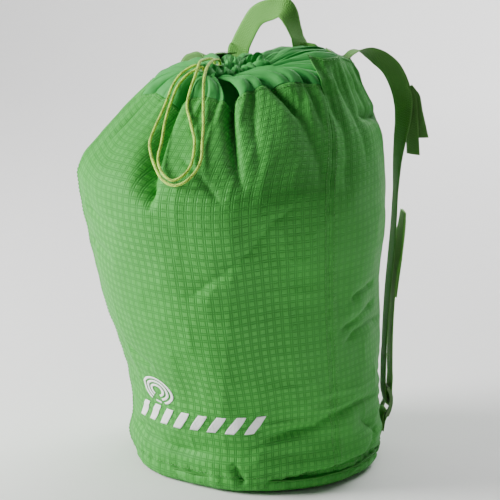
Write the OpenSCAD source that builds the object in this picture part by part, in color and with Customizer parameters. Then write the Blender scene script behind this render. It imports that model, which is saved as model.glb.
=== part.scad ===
// Drawcord rope storage bag: round flat base, tapered ripstop body,
// gathered collar with a cord hem, haul handle and two adjustable
// shoulder straps with ladder-lock buckles.
// +Z up, front is -Y, the origin is the centre of the base on the ground.

/* [Bag body] */
// Radius of the round base
base_r = 139; // [130:1:142]
// Radius of the body at its shoulder
shoulder_r = 164; // [158:1:167]
// Radius of the ring where the collar is sewn on
seam_r = 112.8; // [108:0.4:116]
// Height of the collar seam
seam_z = 422; // [416:1:426]
// Thickness of the body fabric as modelled
wall = 2.4; // [1.6:0.2:3]
// Rise of the two strap corners of the back panel above the seam
wing_rise = 22; // [10:1:24]

/* [Neck] */
// Height of the gathered collar top
collar_z = 436; // [432:1:438]
// Length of the straight part of the closed mouth
mouth_len = 50; // [40:1:56]
// Bend radius of the hem channel at the mouth ends
hem_r = 15; // [14:0.5:17]
// Outer radius of the hem channel
channel_r = 5.5; // [5:0.1:5.8]
// Diameter of the drawcord
cord_d = 3; // [2.4:0.2:3.2]

/* [Webbing] */
// Width of the shoulder strap and handle webbing
web_w = 25; // [20:1:27]
// Thickness of the webbing
web_t = 1.7; // [1.2:0.1:2]
// Direction of the right shoulder strap around the bag
strap_a_right = 38; // [34:1:40]
// Direction of the left shoulder strap around the bag
strap_a_left = 152; // [150:1:156]
// Extra slack of the left strap at mid height
slack_left = 9; // [6:0.5:14]
// Height of the haul handle loop's foot above the ground
handle_foot_z = 441; // [440:1:443]

/* [Ladder lock] */
// Outside width of the ladder-lock buckle
lock_w = 31; // [29:1:33]
// Height of the ladder-lock buckle
lock_h = 36; // [33:1:38]
// Diameter of the ladder-lock cross bars
lock_bar = 4; // [3.4:0.2:4.4]

/* [Hidden] */

eps = 0.3;
// body sections from the base up: height, radius, centre x, centre y
body_rows = [
    [19, base_r, 0, 0],
    [50, base_r - 1, 0, -2],
    [80, base_r, -0.6, -7],
    [110, base_r + 2.3, -1.4, -13.6],
    [170, base_r + 9.5, -5.2, -29.9],
    [230, base_r + 15, -7.7, -40.1],
    [290, shoulder_r - 2.6, -10.3, -51.2],
    [330, shoulder_r, -11.2, -54.6],
    [347, shoulder_r - 3.4, -10, -50],
    [360, shoulder_r - 9.2, -7.7, -40.2],
    [390, (shoulder_r + seam_r) / 2 - 0.6, -3.8, -23.7],
    [seam_z, seam_r, -1.7, -15.1]];
seam_row = len(body_rows) - 1;
// the side seams run up the body at these two directions
seam_right = -24;
seam_left = 218;
// closed mouth: centre and direction of its long side
mouth_c = [-11, -62];
mouth_turn = -15;

function lerp(a, b, t) = a + (b - a) * t;
function unit(v) = v / norm(v);
function ring_pt(row, a, inset = 0) =
    [row[2] + (row[1] - inset) * cos(a), row[3] + (row[1] - inset) * sin(a), row[0]];

// height that the strap corners add to the back panel's top edge, by direction:
// full between each side seam and its strap, then falling away behind the strap
function fall(t) = pow(cos(90 * max(0, min(1, t))), 2);
function wing(a) = wing_rise * (fall((a - strap_a_right - 2) / 14) + fall((strap_a_left - 2 - a) / 14));

// closed solid between two grids of points: outer[i][j] and inner[i][j],
// i runs along the panel, j up it
module shell(outer, inner) {
    n = len(outer);
    m = len(outer[0]);
    pts = concat([for (c = outer) each c], [for (c = inner) each c]);
    function o(i, j) = i * m + j;
    function q(i, j) = n * m + i * m + j;
    faces = concat(
        [for (i = [0:n - 2], j = [0:m - 2], k = [0, 1])
            k == 0 ? [o(i, j), o(i, j + 1), o(i + 1, j + 1)] : [o(i, j), o(i + 1, j + 1), o(i + 1, j)]],
        [for (i = [0:n - 2], j = [0:m - 2], k = [0, 1])
            k == 0 ? [q(i, j), q(i + 1, j + 1), q(i, j + 1)] : [q(i, j), q(i + 1, j), q(i + 1, j + 1)]],
        [for (i = [0:n - 2], k = [0, 1])
            k == 0 ? [o(i, 0), o(i + 1, 0), q(i + 1, 0)] : [o(i, 0), q(i + 1, 0), q(i, 0)]],
        [for (i = [0:n - 2], k = [0, 1])
            k == 0 ? [o(i, m - 1), q(i + 1, m - 1), o(i + 1, m - 1)] : [o(i, m - 1), q(i, m - 1), q(i + 1, m - 1)]],
        [for (j = [0:m - 2], k = [0, 1])
            k == 0 ? [o(0, j), q(0, j + 1), o(0, j + 1)] : [o(0, j), q(0, j), q(0, j + 1)]],
        [for (j = [0:m - 2], k = [0, 1])
            k == 0 ? [o(n - 1, j), o(n - 1, j + 1), q(n - 1, j + 1)] : [o(n - 1, j), q(n - 1, j + 1), q(n - 1, j)]]);
    polyhedron(points = pts, faces = faces, convexity = 6);
}

// top edge of the back panel raised to the strap corners
function back_rows(a, inset) =
    concat([for (r = body_rows) ring_pt(r, a, inset)],
        [[body_rows[seam_row][2] + (seam_r - inset - 1 - wing(a) * 0.55) * cos(a),
          body_rows[seam_row][3] + (seam_r - inset - 1 - wing(a) * 0.55) * sin(a),
          seam_z + 1.5 + wing(a)]]);

module front_panel() {
    color([0.36, 0.72, 0.34])
    let (a0 = seam_left - 360 + 0.2, a1 = seam_right - 0.2, n = 22)
    shell([for (i = [0:n]) [for (r = body_rows) ring_pt(r, lerp(a0, a1, i / n))]],
          [for (i = [0:n]) [for (r = body_rows) ring_pt(r, lerp(a0, a1, i / n), wall)]]);
}

module back_panel() {
    color([0.30, 0.62, 0.29])
    let (a0 = seam_right, a1 = seam_left, n = 38)
    shell([for (i = [0:n]) back_rows(lerp(a0, a1, i / n), 0)],
          [for (i = [0:n]) back_rows(lerp(a0, a1, i / n), wall)]);
}

// round base with a turned-up edge
module base_panel() {
    color([0.26, 0.54, 0.26])
    rotate_extrude($fn = 96)
    polygon([[0, 0], [base_r - 7, 0], [base_r - 2, 1.6], [base_r, 6], [base_r, 13.6],
             [base_r - 2.6, 13.6], [base_r - 2.6, 6.6], [base_r - 4, 3.6], [base_r - 7.6, 2.6], [0, 2.6]]);
}

// binding tape folded over the seam between base and body
module base_binding() {
    color([0.24, 0.50, 0.25])
    rotate_extrude($fn = 96)
    polygon([[base_r - 4, 13.9], [base_r + 0.4, 13.9], [base_r + 1.6, 15], [base_r + 1.6, 17.5],
             [base_r + 0.4, 18.7], [base_r - 4, 18.7]]);
}

// tape over the raw edges of a side seam, inside the bag
module seam_tape(a) {
    rows = [for (k = [0:seam_row - 1]) body_rows[k]];
    shell([for (i = [-1:1]) [for (r = rows) ring_pt(r, a + i * 2.4, wall + 0.4)]],
          [for (i = [-1:1]) [for (r = rows) ring_pt(r, a + i * 2.4, wall + 1.6)]]);
}
module side_seam_tape_left() color([0.2, 0.42, 0.22]) seam_tape(seam_left);
module side_seam_tape_right() color([0.2, 0.42, 0.22]) seam_tape(seam_right);

// outline of the closed mouth, grown by r, at direction a
function clamp1(t) = max(-1, min(1, t));
function mouth_pt(a, r, z) =
    let (b = a - mouth_turn, x = r * cos(b), y = r * sin(b) + mouth_len / 2 * clamp1(3 * sin(b)))
    [mouth_c[0] + x * cos(mouth_turn) - y * sin(mouth_turn),
     mouth_c[1] + x * sin(mouth_turn) + y * cos(mouth_turn), z];
collar_in = wall + 1.6; // the collar's lower edge sits inside the panels' top edge
collar_top = [
    // height, blend from the seam ring to the mouth outline
    [seam_z - 2.6, 0], [seam_z + 7, 0.07], [collar_z - 2, 0.19], [collar_z, 0.4], [collar_z, 0.7], [collar_z, 1]];
function collar_pt(k, a, inset) =
    let (s = ring_pt(body_rows[seam_row], a, collar_in + inset * (k < 3 ? 1 : 0)),
         m = mouth_pt(a, hem_r + channel_r + 1.4, 0), t = collar_top[k][1])
    [lerp(s[0], m[0], t), lerp(s[1], m[1], t), collar_top[k][0] - (k < 1 ? 0 : k < 3 ? inset * 0.6 : inset)];

// smooth fabric skirt between body and hem, drawn in to the mouth
module collar() {
    color([0.40, 0.76, 0.42])
    for (h = [0, 1])
    shell([for (i = [0:24]) [for (k = [0:5]) collar_pt(k, h * 180 + i * 7.5 - 90, 0)]],
          [for (i = [0:24]) [for (k = [0:5]) collar_pt(k, h * 180 + i * 7.5 - 90, 2)]]);
}

// closed ring that follows the mouth: two half turns and two straight sides
module mouth_loop(r_bend, r_tube, z) {
    translate([mouth_c[0], mouth_c[1], z]) rotate([0, 0, mouth_turn]) {
        translate([0, mouth_len / 2, 0])
            rotate_extrude(angle = 180, $fn = 48) translate([r_bend, 0]) circle(r = r_tube, $fn = 24);
        translate([0, -mouth_len / 2, 0]) rotate([0, 0, 180])
            rotate_extrude(angle = 180, $fn = 48) translate([r_bend, 0]) circle(r = r_tube, $fn = 24);
        for (s = [-1, 1]) translate([s * r_bend, mouth_len / 2, 0]) rotate([90, 0, 0])
            cylinder(r = r_tube, h = mouth_len, $fn = 24);
    }
}

// folded hem that the cord runs in
module hem_channel() {
    color([0.38, 0.74, 0.40])
    difference() {
        mouth_loop(hem_r, channel_r, collar_z);
        mouth_loop(hem_r, 3.7, collar_z);
    }
}

// the cord's two turns inside the hem
module hem_cord() {
    color([0.62, 0.80, 0.35]) {
        mouth_loop(hem_r - 1.8, cord_d / 2, collar_z);
        mouth_loop(hem_r + 1.8, cord_d / 2, collar_z);
    }
}

// stitched patch on the hem where two cords come out
module cord_patch(p, turn) {
    translate([p[0], p[1], collar_z + channel_r + 0.1]) rotate([0, 0, turn])
    linear_extrude(1.2) hull() for (s = [-1, 1]) translate([s * 3.4, 0]) circle(r = 3.6, $fn = 32);
}
module cord_patch_front() color([0.30, 0.58, 0.30]) cord_patch([-21.2, -104.6], -20);
module cord_patch_side() color([0.30, 0.58, 0.30]) cord_patch([-28.5, -58], -15);
patch_top = 442.8;

// ----- drawcord strands -----
outer_route = [[-25, -58.5, patch_top], [-25, -58.5, 445.4], [-24.6, -61, 448], [-24, -68, 449.5], [-20, -84, 450],
    [-13, -106, 447], [-5, -126, 437.5], [1, -137, 420], [8.5, -149.5, 406.5], [15.5, -161, 395.5], [22.5, -175, 381],
    [29, -187.5, 369], [30, -199.5, 358.5], [24.5, -211.5, 349], [13, -215, 345], [-1, -213.5, 350],
    [-18.5, -200, 361.5], [-31, -187, 373], [-37, -176, 380], [-39, -163, 391.5],
    [-41, -147.5, 403.5], [-42.5, -134.5, 415.5], [-43, -124.5, 427], [-39, -116, 438],
    [-32, -108.5, 445], [-27, -104.6, 447.4], [-24.4, -103.4, 445.6], [-24.4, -103.4, patch_top]];
inner_route = [[-32, -57.5, patch_top], [-32, -57.5, 445.4], [-31.7, -60, 448], [-31, -69, 450], [-28, -86, 451],
    [-22.5, -105, 451], [-18, -120, 441], [-17.5, -130.5, 428], [-16, -139.5, 415.5], [-11.5, -147.5, 408.5],
    [-3.5, -156, 401.5], [5, -165, 392.5], [13, -174, 384], [19, -185.5, 372], [21.5, -196, 361.5],
    [19.5, -206.5, 354], [11, -212, 349], [-0.5, -210, 353], [-11.5, -201.5, 360.5], [-17.5, -192.5, 368],
    [-20.5, -183, 376], [-24, -174, 384], [-29, -163, 392.5], [-33.5, -149.5, 403.5],
    [-35.5, -138, 414.5], [-35.5, -127.5, 427], [-31, -118, 437.5], [-25, -111.5, 443], [-20.4, -107.6, 446.4],
    [-18, -105.8, 445.4], [-18, -105.8, patch_top]];

// round tube along a route; each ring is turned with the route
function tangent(p, i) = unit(p[min(i + 1, len(p) - 1)] - p[max(i - 1, 0)]);
module tube(p, d, sides) {
    n = len(p);
    function side_v(i) = unit(cross(tangent(p, i), abs(tangent(p, i)[0]) > 0.9 ? [0, 1, 0] : [1, 0, 0]));
    rings = [for (i = [0:n - 1])
        let (t = tangent(p, i), x = side_v(i), y = cross(t, x))
        [for (k = [0:sides - 1]) p[i] + d / 2 * (x * cos(360 * k / sides) + y * sin(360 * k / sides))]];
    polyhedron(points = [for (r = rings) each r],
        faces = concat([[for (k = [0:sides - 1]) k]],
            [[for (k = [sides - 1:-1:0]) (n - 1) * sides + k]],
            [for (i = [0:n - 2], k = [0:sides - 1], h = [0, 1])
                let (a = i * sides + k, b = i * sides + (k + 1) % sides)
                h == 0 ? [a, a + sides, b + sides] : [a, b + sides, b]]),
        convexity = 8);
}
module drawcord_outer_strand() color([0.62, 0.80, 0.35]) tube(outer_route, cord_d, 8);
module drawcord_inner_strand() color([0.62, 0.80, 0.35]) tube(inner_route, cord_d, 8);

// ----- webbing -----
// flat band along stations [centre, width direction]
module band(st, w, t) {
    n = len(st);
    function tn(i) = unit(st[min(i + 1, n - 1)][0] - st[max(i - 1, 0)][0]);
    pts = [for (i = [0:n - 1])
        let (wd = unit(st[i][1] - (st[i][1] * tn(i)) * tn(i)), nn = cross(tn(i), wd), c = st[i][0])
        each [c + wd * w / 2 + nn * t / 2, c - wd * w / 2 + nn * t / 2,
              c - wd * w / 2 - nn * t / 2, c + wd * w / 2 - nn * t / 2]];
    polyhedron(points = pts,
        faces = concat([[0, 1, 2, 3]], [[for (k = [3:-1:0]) (n - 1) * 4 + k]],
            [for (i = [0:n - 2], k = [0:3], h = [0, 1])
                let (a = i * 4 + k, b = i * 4 + (k + 1) % 4)
                h == 0 ? [a, a + 4, b + 4] : [a, b + 4, b]]),
        convexity = 8);
}
// more stations between the given ones, on a smooth curve
function cr(p0, p1, p2, p3, t) = 0.5 * (2 * p1 + (p2 - p0) * t + (2 * p0 - 5 * p1 + 4 * p2 - p3) * t * t
    + (3 * p1 - p0 - 3 * p2 + p3) * t * t * t);
function smooth(st, m) = let (n = len(st)) concat([for (i = [0:n - 2], k = [0:m - 1])
    let (a = st[max(i - 1, 0)], b = st[i], c = st[i + 1], d = st[min(i + 2, n - 1)], t = k / m)
    [cr(a[0], b[0], c[0], d[0], t), lerp(b[1], c[1], t)]], [st[n - 1]]);

// haul handle: a loop that stands on the back of the collar
handle_y = 54;
handle_st = [
    [[-64, handle_y, handle_foot_z + 4], [1, 0, 0]], [[-61, handle_y, 454], [0.95, -0.1, -0.1]],
    [[-55, handle_y, 467], [0.92, -0.15, -0.3]], [[-49, handle_y, 478], [0.85, -0.2, -0.6]],
    [[-40, handle_y, 488], [0.5, -0.2, -0.95]], [[-28, handle_y, 492], [0.05, -0.3, -1]],
    [[-15, handle_y, 494], [-0.2, -0.4, -0.9]], [[-5, handle_y, 487], [-0.5, -0.6, -0.5]],
    [[3, handle_y, 473], [-0.6, -0.75, -0.2]], [[10.5, handle_y, 458], [-0.85, -0.45, -0.1]],
    [[17, handle_y, handle_foot_z + 6.5], [-1, 0, 0]]];
module haul_handle() color([0.42, 0.68, 0.36]) band(smooth(handle_st, 3), web_w, web_t);

// the handle's two sewn ends, flat on the collar behind its foot
module handle_web_ends() {
    color([0.38, 0.62, 0.34])
    for (x = [-64, 18])
        band([[[x, handle_y + 2.4, collar_z + 1.4], [1, 0, 0]], [[x, handle_y + 8, collar_z + 1.4], [1, 0, 0]],
              [[x, handle_y + 15, collar_z + 1.4], [1, 0, 0]]], web_w - 1, web_t);
}

// webbing loop inside the bag for the end of the rope
module rope_end_loop() {
    color([0.42, 0.68, 0.36])
    translate([0, 130.4, 40]) rotate([0, 90, 0]) translate([0, 0, -10])
    difference() {
        cylinder(r = 15, h = 20, $fn = 48);
        translate([0, 0, -1]) cylinder(r = 13.2, h = 22, $fn = 48);
        translate([-20, 1.6, -1]) cube([40, 20, 22]);
    }
}

// place of a point of a strap: direction a, distance out u, sideways v, height z
function at(a, u, v, z) = [u * cos(a) + v * sin(a), -8 + u * sin(a) - v * cos(a), z];
// the left strap hangs this much further out at mid height
function slack(a, z) = a > 90 && z > 80 && z < 440 ? slack_left * pow(sin(180 * (z - 80) / 360), 0.8) : 0;
// station of a strap: tilt of its width out of the sideways direction
function sts(a, u, z, tilt = 0) = [at(a, u + slack(a, z), 0, z),
    [sin(a) * cos(tilt) + cos(a) * sin(tilt) * 0.75, -cos(a) * cos(tilt) + sin(a) * sin(tilt) * 0.75, sin(tilt) * 0.66]];

module strap(a, s) {
    band(smooth([sts(a, 96, 453, 0), sts(a, 104, 456, s * 12), sts(a, 115, 454, s * 34), sts(a, 128, 447, s * 48),
        sts(a, 141, 436, s * 50), sts(a, 151, 418, s * 50), sts(a, 156, 399, s * 46), sts(a, 156.5, 381, s * 38),
        sts(a, 154.5, 360, s * 27), sts(a, 152.5, 334, s * 12), sts(a, 152, 300, 0), sts(a, 151.5, 260, 0),
        sts(a, 150, 222, 0), sts(a, 148, 182, 0), sts(a, 147, 140, 0), sts(a, 147, 100, 0), sts(a, 148, 80, 0)], 2),
        web_w, web_t);
}
module shoulder_strap_left() color([0.30, 0.50, 0.27]) strap(strap_a_left, -1);
module shoulder_strap_right() color([0.30, 0.50, 0.27]) strap(strap_a_right, 1);

// sewn end of the strap on the raised corner of the back panel
module upper_web_end(a) {
    band([sts(a, 76, 439.6), sts(a, 83, 443), sts(a, 90.5, 449.6)], web_w - 6, web_t);
}
module upper_web_end_left() color([0.40, 0.66, 0.30]) upper_web_end(strap_a_left);
module upper_web_end_right() color([0.40, 0.66, 0.30]) upper_web_end(strap_a_right);

// two loose webbing ends sewn under the bend of the strap
module tie_long(a, s) {
    band(smooth([sts(a, 163.5, 402, s * 44), sts(a, 166, 384, s * 40), sts(a, 168, 364, s * 37), sts(a, 170, 342, s * 36)], 2),
        web_w - 5, web_t);
}
module tie_short(a, s) {
    band(smooth([sts(a, 167.5, 404, s * 44), sts(a, 171, 388, s * 42), sts(a, 175, 374, s * 40), sts(a, 179, 360, s * 38)], 2),
        web_w - 5, web_t);
}
module strap_tie_long_left() color([0.27, 0.45, 0.25]) tie_long(strap_a_left, -1);
module strap_tie_long_right() color([0.27, 0.45, 0.25]) tie_long(strap_a_right, 1);
module strap_tie_short_left() color([0.25, 0.42, 0.24]) tie_short(strap_a_left, -1);
module strap_tie_short_right() color([0.25, 0.42, 0.24]) tie_short(strap_a_right, 1);

// webbing tab between the base seam and the buckle
module lower_tab(a) {
    band([sts(a, 147, 30), sts(a, 147.6, 36), sts(a, 148.6, 40)], web_w - 7, web_t);
}
module lower_strap_tab_left() color([0.40, 0.66, 0.30]) lower_tab(strap_a_left);
module lower_strap_tab_right() color([0.40, 0.66, 0.30]) lower_tab(strap_a_right);

// three-cornered patch that spreads the tab's pull into the base seam
module lower_patch(a) {
    r0 = 143.2; // its back lies just off the binding
    translate([0, 0, 19.2]) rotate([0, 0, a])
    translate([r0, 0, 0]) rotate([90, 0, 90]) linear_extrude(1.6)
    polygon([[-27, 0], [27, 0], [9, 8.6], [-9, 8.6]]);
}
module lower_anchor_patch_left() color([0.28, 0.56, 0.27]) lower_patch(strap_a_left);
module lower_anchor_patch_right() color([0.28, 0.56, 0.27]) lower_patch(strap_a_right);

// ladder-lock buckle: two curved side rails and three cross bars
lock_u = 150;
lock_z = 45;
module lock_frame(a) translate(at(a, lock_u, 0, lock_z)) rotate([0, 0, a]) children();
module rail() {
    rotate([90, 0, 0]) linear_extrude(3, center = true)
    polygon([[-2, -3], [0, -4], [2.4, -3], [5, 4], [6.4, 12], [6.2, 20], [4.4, 27], [1.4, lock_h - 4.6],
             [-1.2, lock_h - 4.4], [-1.6, lock_h - 6.4], [1.4, 24], [2.6, 16], [2, 8], [-0.6, 2]]);
}
module ladder_lock(a) {
    lock_frame(a) {
        for (s = [-1, 1]) translate([0, s * (lock_w / 2 - 1.5), 0]) rail();
        for (p = [[0.2, -1.2], [3.6, 12], [0.6, lock_h - 6.8]])
            translate([p[0], lock_w / 2 - 1.5, p[1]]) rotate([90, 0, 0])
                cylinder(r = lock_bar / 2, h = lock_w - 3, $fn = 32);
    }
}
module ladder_lock_left() color([0.24, 0.46, 0.20]) ladder_lock(strap_a_left);
module ladder_lock_right() color([0.24, 0.46, 0.20]) ladder_lock(strap_a_right);

// free end of the strap above the buckle
module tail(a) {
    band(smooth([sts(a, 155.6, 82), sts(a, 154.5, 100), sts(a, 153.5, 138), sts(a, 153.8, 175), sts(a, 154.6, 205),
        sts(a, 157.5, 232), sts(a, 158.5, 248), sts(a, 161, 276)], 2), web_w - 1, web_t);
}
module adjuster_tail_left() color([0.44, 0.66, 0.36]) tail(strap_a_left);
module adjuster_tail_right() color([0.44, 0.66, 0.36]) tail(strap_a_right);

front_panel();
back_panel();
base_panel();
base_binding();
side_seam_tape_left();
side_seam_tape_right();
collar();
hem_channel();
hem_cord();
cord_patch_front();
cord_patch_side();
drawcord_outer_strand();
drawcord_inner_strand();
haul_handle();
handle_web_ends();
rope_end_loop();
upper_web_end_left();
upper_web_end_right();
shoulder_strap_left();
shoulder_strap_right();
strap_tie_long_left();
strap_tie_long_right();
strap_tie_short_left();
strap_tie_short_right();
lower_strap_tab_left();
lower_strap_tab_right();
lower_anchor_patch_left();
lower_anchor_patch_right();
ladder_lock_left();
ladder_lock_right();
adjuster_tail_left();
adjuster_tail_right();
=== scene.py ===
import math

import bpy
import numpy as np
from mathutils import Matrix, Vector


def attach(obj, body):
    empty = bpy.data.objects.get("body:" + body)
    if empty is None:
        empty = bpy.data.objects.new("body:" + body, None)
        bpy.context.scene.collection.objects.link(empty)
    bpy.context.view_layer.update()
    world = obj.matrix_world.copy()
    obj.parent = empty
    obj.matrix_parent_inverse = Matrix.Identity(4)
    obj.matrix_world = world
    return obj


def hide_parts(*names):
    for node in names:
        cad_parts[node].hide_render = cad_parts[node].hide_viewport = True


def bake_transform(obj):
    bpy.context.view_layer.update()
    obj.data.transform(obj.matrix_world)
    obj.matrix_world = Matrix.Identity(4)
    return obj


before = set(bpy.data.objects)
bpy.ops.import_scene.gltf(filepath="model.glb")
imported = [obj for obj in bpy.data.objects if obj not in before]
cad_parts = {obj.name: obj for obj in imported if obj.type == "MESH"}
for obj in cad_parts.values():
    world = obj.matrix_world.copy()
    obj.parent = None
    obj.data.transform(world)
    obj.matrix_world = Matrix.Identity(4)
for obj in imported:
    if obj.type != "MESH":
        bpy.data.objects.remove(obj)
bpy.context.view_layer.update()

MM = 0.001
rng = np.random.default_rng(7)


# ---------------------------------------------------------------- camera
def make_camera():
    a, e, roll = math.radians(28), math.radians(14), math.radians(1.5)
    d = Vector((math.sin(a) * math.cos(e), -math.cos(a) * math.cos(e), math.sin(e)))
    r = Vector((math.cos(a), math.sin(a), 0))
    u = d.cross(r)
    r2 = r * math.cos(roll) + u * math.sin(roll)
    target = Vector((0, -0.008, 0.235))
    place = target + d * 1.9
    back = (place - (target - r2 * 0.00935)).normalized()
    right = (r2 - back * r2.dot(back)).normalized()
    up = back.cross(right)
    data = bpy.data.cameras.new("camera")
    data.lens, data.sensor_width = 124.3, 36
    data.clip_start, data.clip_end = 0.05, 40
    cam = bpy.data.objects.new("camera", data)
    bpy.context.collection.objects.link(cam)
    m = Matrix((right, up, back)).transposed().to_4x4()
    m.translation = place
    cam.matrix_world = m
    bpy.context.scene.camera = cam


make_camera()


# ---------------------------------------------------------------- node helpers
class Nodes:
    def __init__(self, name):
        self.mat = bpy.data.materials.new(name)
        self.mat.use_nodes = True
        self.t = self.mat.node_tree
        self.t.nodes.clear()
        self.out = self.t.nodes.new("ShaderNodeOutputMaterial")
        self.bsdf = self.t.nodes.new("ShaderNodeBsdfPrincipled")
        self.t.links.new(self.bsdf.outputs[0], self.out.inputs[0])

    def put(self, sock, v):
        if isinstance(v, (int, float)):
            sock.default_value = v
        elif isinstance(v, (tuple, list)):
            sock.default_value = tuple(v) if len(sock.default_value) == len(v) else tuple(v) + (1,)
        else:
            self.t.links.new(v, sock)

    def math(self, op, a, b=0.0, c=0.0, clamp=False):
        n = self.t.nodes.new("ShaderNodeMath")
        n.operation, n.use_clamp = op, clamp
        self.put(n.inputs[0], a)
        self.put(n.inputs[1], b)
        self.put(n.inputs[2], c)
        return n.outputs[0]

    def step(self, v, a, b, lo=0.0, hi=1.0):
        n = self.t.nodes.new("ShaderNodeMapRange")
        n.interpolation_type = "SMOOTHSTEP"
        for i, x in enumerate((v, a, b, lo, hi)):
            self.put(n.inputs[i], x)
        return n.outputs[0]

    def noise(self, vec, scale, detail=3.0, rough=0.55, distortion=0.0):
        n = self.t.nodes.new("ShaderNodeTexNoise")
        self.put(n.inputs["Vector"], vec)
        n.inputs["Scale"].default_value = scale
        n.inputs["Detail"].default_value = detail
        n.inputs["Roughness"].default_value = rough
        n.inputs["Distortion"].default_value = distortion
        return n.outputs["Fac"]

    def voronoi(self, vec, scale):
        n = self.t.nodes.new("ShaderNodeTexVoronoi")
        self.put(n.inputs["Vector"], vec)
        n.inputs["Scale"].default_value = scale
        return n.outputs["Distance"]

    def uv(self):
        n = self.t.nodes.new("ShaderNodeUVMap")
        n.uv_map = "UVMap"
        s = self.t.nodes.new("ShaderNodeSeparateXYZ")
        self.t.links.new(n.outputs[0], s.inputs[0])
        return n.outputs[0], s.outputs[0], s.outputs[1]

    def obj(self):
        n = self.t.nodes.new("ShaderNodeTexCoord")
        return n.outputs["Object"]

    def scaled(self, vec, x, y, z):
        n = self.t.nodes.new("ShaderNodeMapping")
        self.put(n.inputs[0], vec)
        n.inputs[3].default_value = (x, y, z)
        return n.outputs[0]

    def mix(self, fac, a, b, blend="MIX"):
        n = self.t.nodes.new("ShaderNodeMix")
        n.data_type, n.blend_type = "RGBA", blend
        self.put(n.inputs[0], fac)
        self.put(n.inputs[6], a)
        self.put(n.inputs[7], b)
        return n.outputs[2]

    def bump(self, height, strength, distance, normal=None):
        n = self.t.nodes.new("ShaderNodeBump")
        n.inputs["Strength"].default_value = strength
        n.inputs["Distance"].default_value = distance
        self.put(n.inputs["Height"], height)
        if normal is not None:
            self.t.links.new(normal, n.inputs["Normal"])
        return n.outputs[0]

    def set(self, **kw):
        for k, v in kw.items():
            self.put(self.bsdf.inputs[k.replace("_", " ")], v)
        return self.mat


def shade(c, k):
    return tuple(min(1.0, x * k) for x in c)


GREEN = (0.054, 0.335, 0.049)


def mat_ripstop(name, base, rib=1.0):
    m = Nodes(name)
    uv, u, v = m.uv()
    ob = m.obj()
    pitch = 1 / 0.0084

    def cell(c):
        f = m.math("FRACT", m.math("MULTIPLY", c, pitch))
        return m.math("MINIMUM", f, m.math("SUBTRACT", 1.0, f))

    wu, wv = cell(u), cell(v)

    def line(w):
        return m.step(m.math("ABSOLUTE", m.math("SUBTRACT", w, 0.13)), 0.035, 0.075, 1.0, 0.0)

    lines = m.math("MAXIMUM", line(wu), line(wv))
    square = m.math("MULTIPLY", m.step(wu, 0.2, 0.27), m.step(wv, 0.2, 0.27))
    patch = m.noise(m.scaled(ob, 1, 1, 1), 14, 2)
    square_f = m.math("MULTIPLY", square, m.step(patch, 0.3, 0.62, 0.35, 1.0))
    soft = m.step(u, -0.17, -0.04, 1.0, 0.42)
    up = m.step(v, 0.22, 0.43)
    square_f = m.math("MULTIPLY", square_f, m.math("MULTIPLY", soft, m.math("SUBTRACT", 1.0, m.math("MULTIPLY", up, 0.5))))
    lines = m.math("MULTIPLY", lines, soft)
    # fine ribs of the weave
    ribs = m.math("SINE", m.math("MULTIPLY", u, 2 * math.pi / 0.0021))
    ribs2 = m.math("SINE", m.math("MULTIPLY", v, 2 * math.pi / 0.0017))
    weave = m.math("MULTIPLY", m.math("ADD", ribs, m.math("MULTIPLY", ribs2, 0.5)), 0.5)
    grain = m.noise(m.scaled(uv, 1, 1, 1), 900, 3, 0.7)
    cloud = m.noise(ob, 9, 4, 0.6)
    col = m.mix(m.step(cloud, 0.3, 0.7), shade(base, 0.93), shade(base, 1.07))
    col = m.mix(m.math("MULTIPLY", lines, 0.64 * rib), col, shade(base, 0.52))
    col = m.mix(m.math("MULTIPLY", square_f, 0.50 * rib), col, (base[0] * 1.9, base[1] * 1.36, base[2] * 1.7))
    col = m.mix(m.math("MULTIPLY", m.step(ribs, -0.2, 0.9), m.math("ADD", 0.14, m.math("MULTIPLY", up, 0.3))), col, shade(base, 0.7))
    col = m.mix(m.step(grain, 0.35, 0.75, 0.0, 0.22), col, shade(base, 0.72))
    h1 = m.math("SUBTRACT", m.math("MULTIPLY", square, 0.9), m.math("MULTIPLY", lines, 0.8))
    small = m.noise(ob, 120, 4, 0.65)
    n1 = m.bump(small, 0.22, 0.0012)
    n2 = m.bump(h1, 0.55 * rib, 0.00045, n1)
    n3 = m.bump(m.math("ADD", weave, m.math("MULTIPLY", grain, 0.8)), 0.35, 0.00018, n2)
    return m.set(
        Base_Color=col, Roughness=m.step(cloud, 0.2, 0.8, 0.58, 0.7), Specular_IOR_Level=0.17,
        Sheen_Weight=0.02, Sheen_Roughness=0.4, Normal=n3,
    )


def mat_plain_cloth(name, base):
    m = Nodes(name)
    uv, u, v = m.uv()
    ob = m.obj()
    cloud = m.noise(ob, 12, 4, 0.6)
    grain = m.noise(uv, 1400, 2, 0.6)
    warp = m.math("SINE", m.math("MULTIPLY", u, 2 * math.pi / 0.0009))
    weft = m.math("SINE", m.math("MULTIPLY", v, 2 * math.pi / 0.0009))
    weave = m.math("MULTIPLY", warp, weft)
    creases = m.noise(m.scaled(uv, 60, 9, 1), 1.0, 5, 0.62, 0.6)
    col = m.mix(m.step(cloud, 0.3, 0.7), shade(base, 0.92), shade(base, 1.08))
    # the crease lines are also painted darker here: painted shade in the creases, on top of their bump
    col = m.mix(m.step(creases, 0.55, 0.8, 0.0, 0.25), col, shade(base, 0.7))
    n1 = m.bump(creases, 0.35, 0.003)
    n2 = m.bump(m.noise(ob, 160, 3), 0.15, 0.0008, n1)
    n3 = m.bump(m.math("ADD", weave, grain), 0.2, 0.00012, n2)
    return m.set(
        Base_Color=col, Roughness=m.step(cloud, 0.2, 0.8, 0.58, 0.7), Specular_IOR_Level=0.13,
        Sheen_Weight=0.01, Sheen_Roughness=0.35, Normal=n3,
    )


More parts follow.
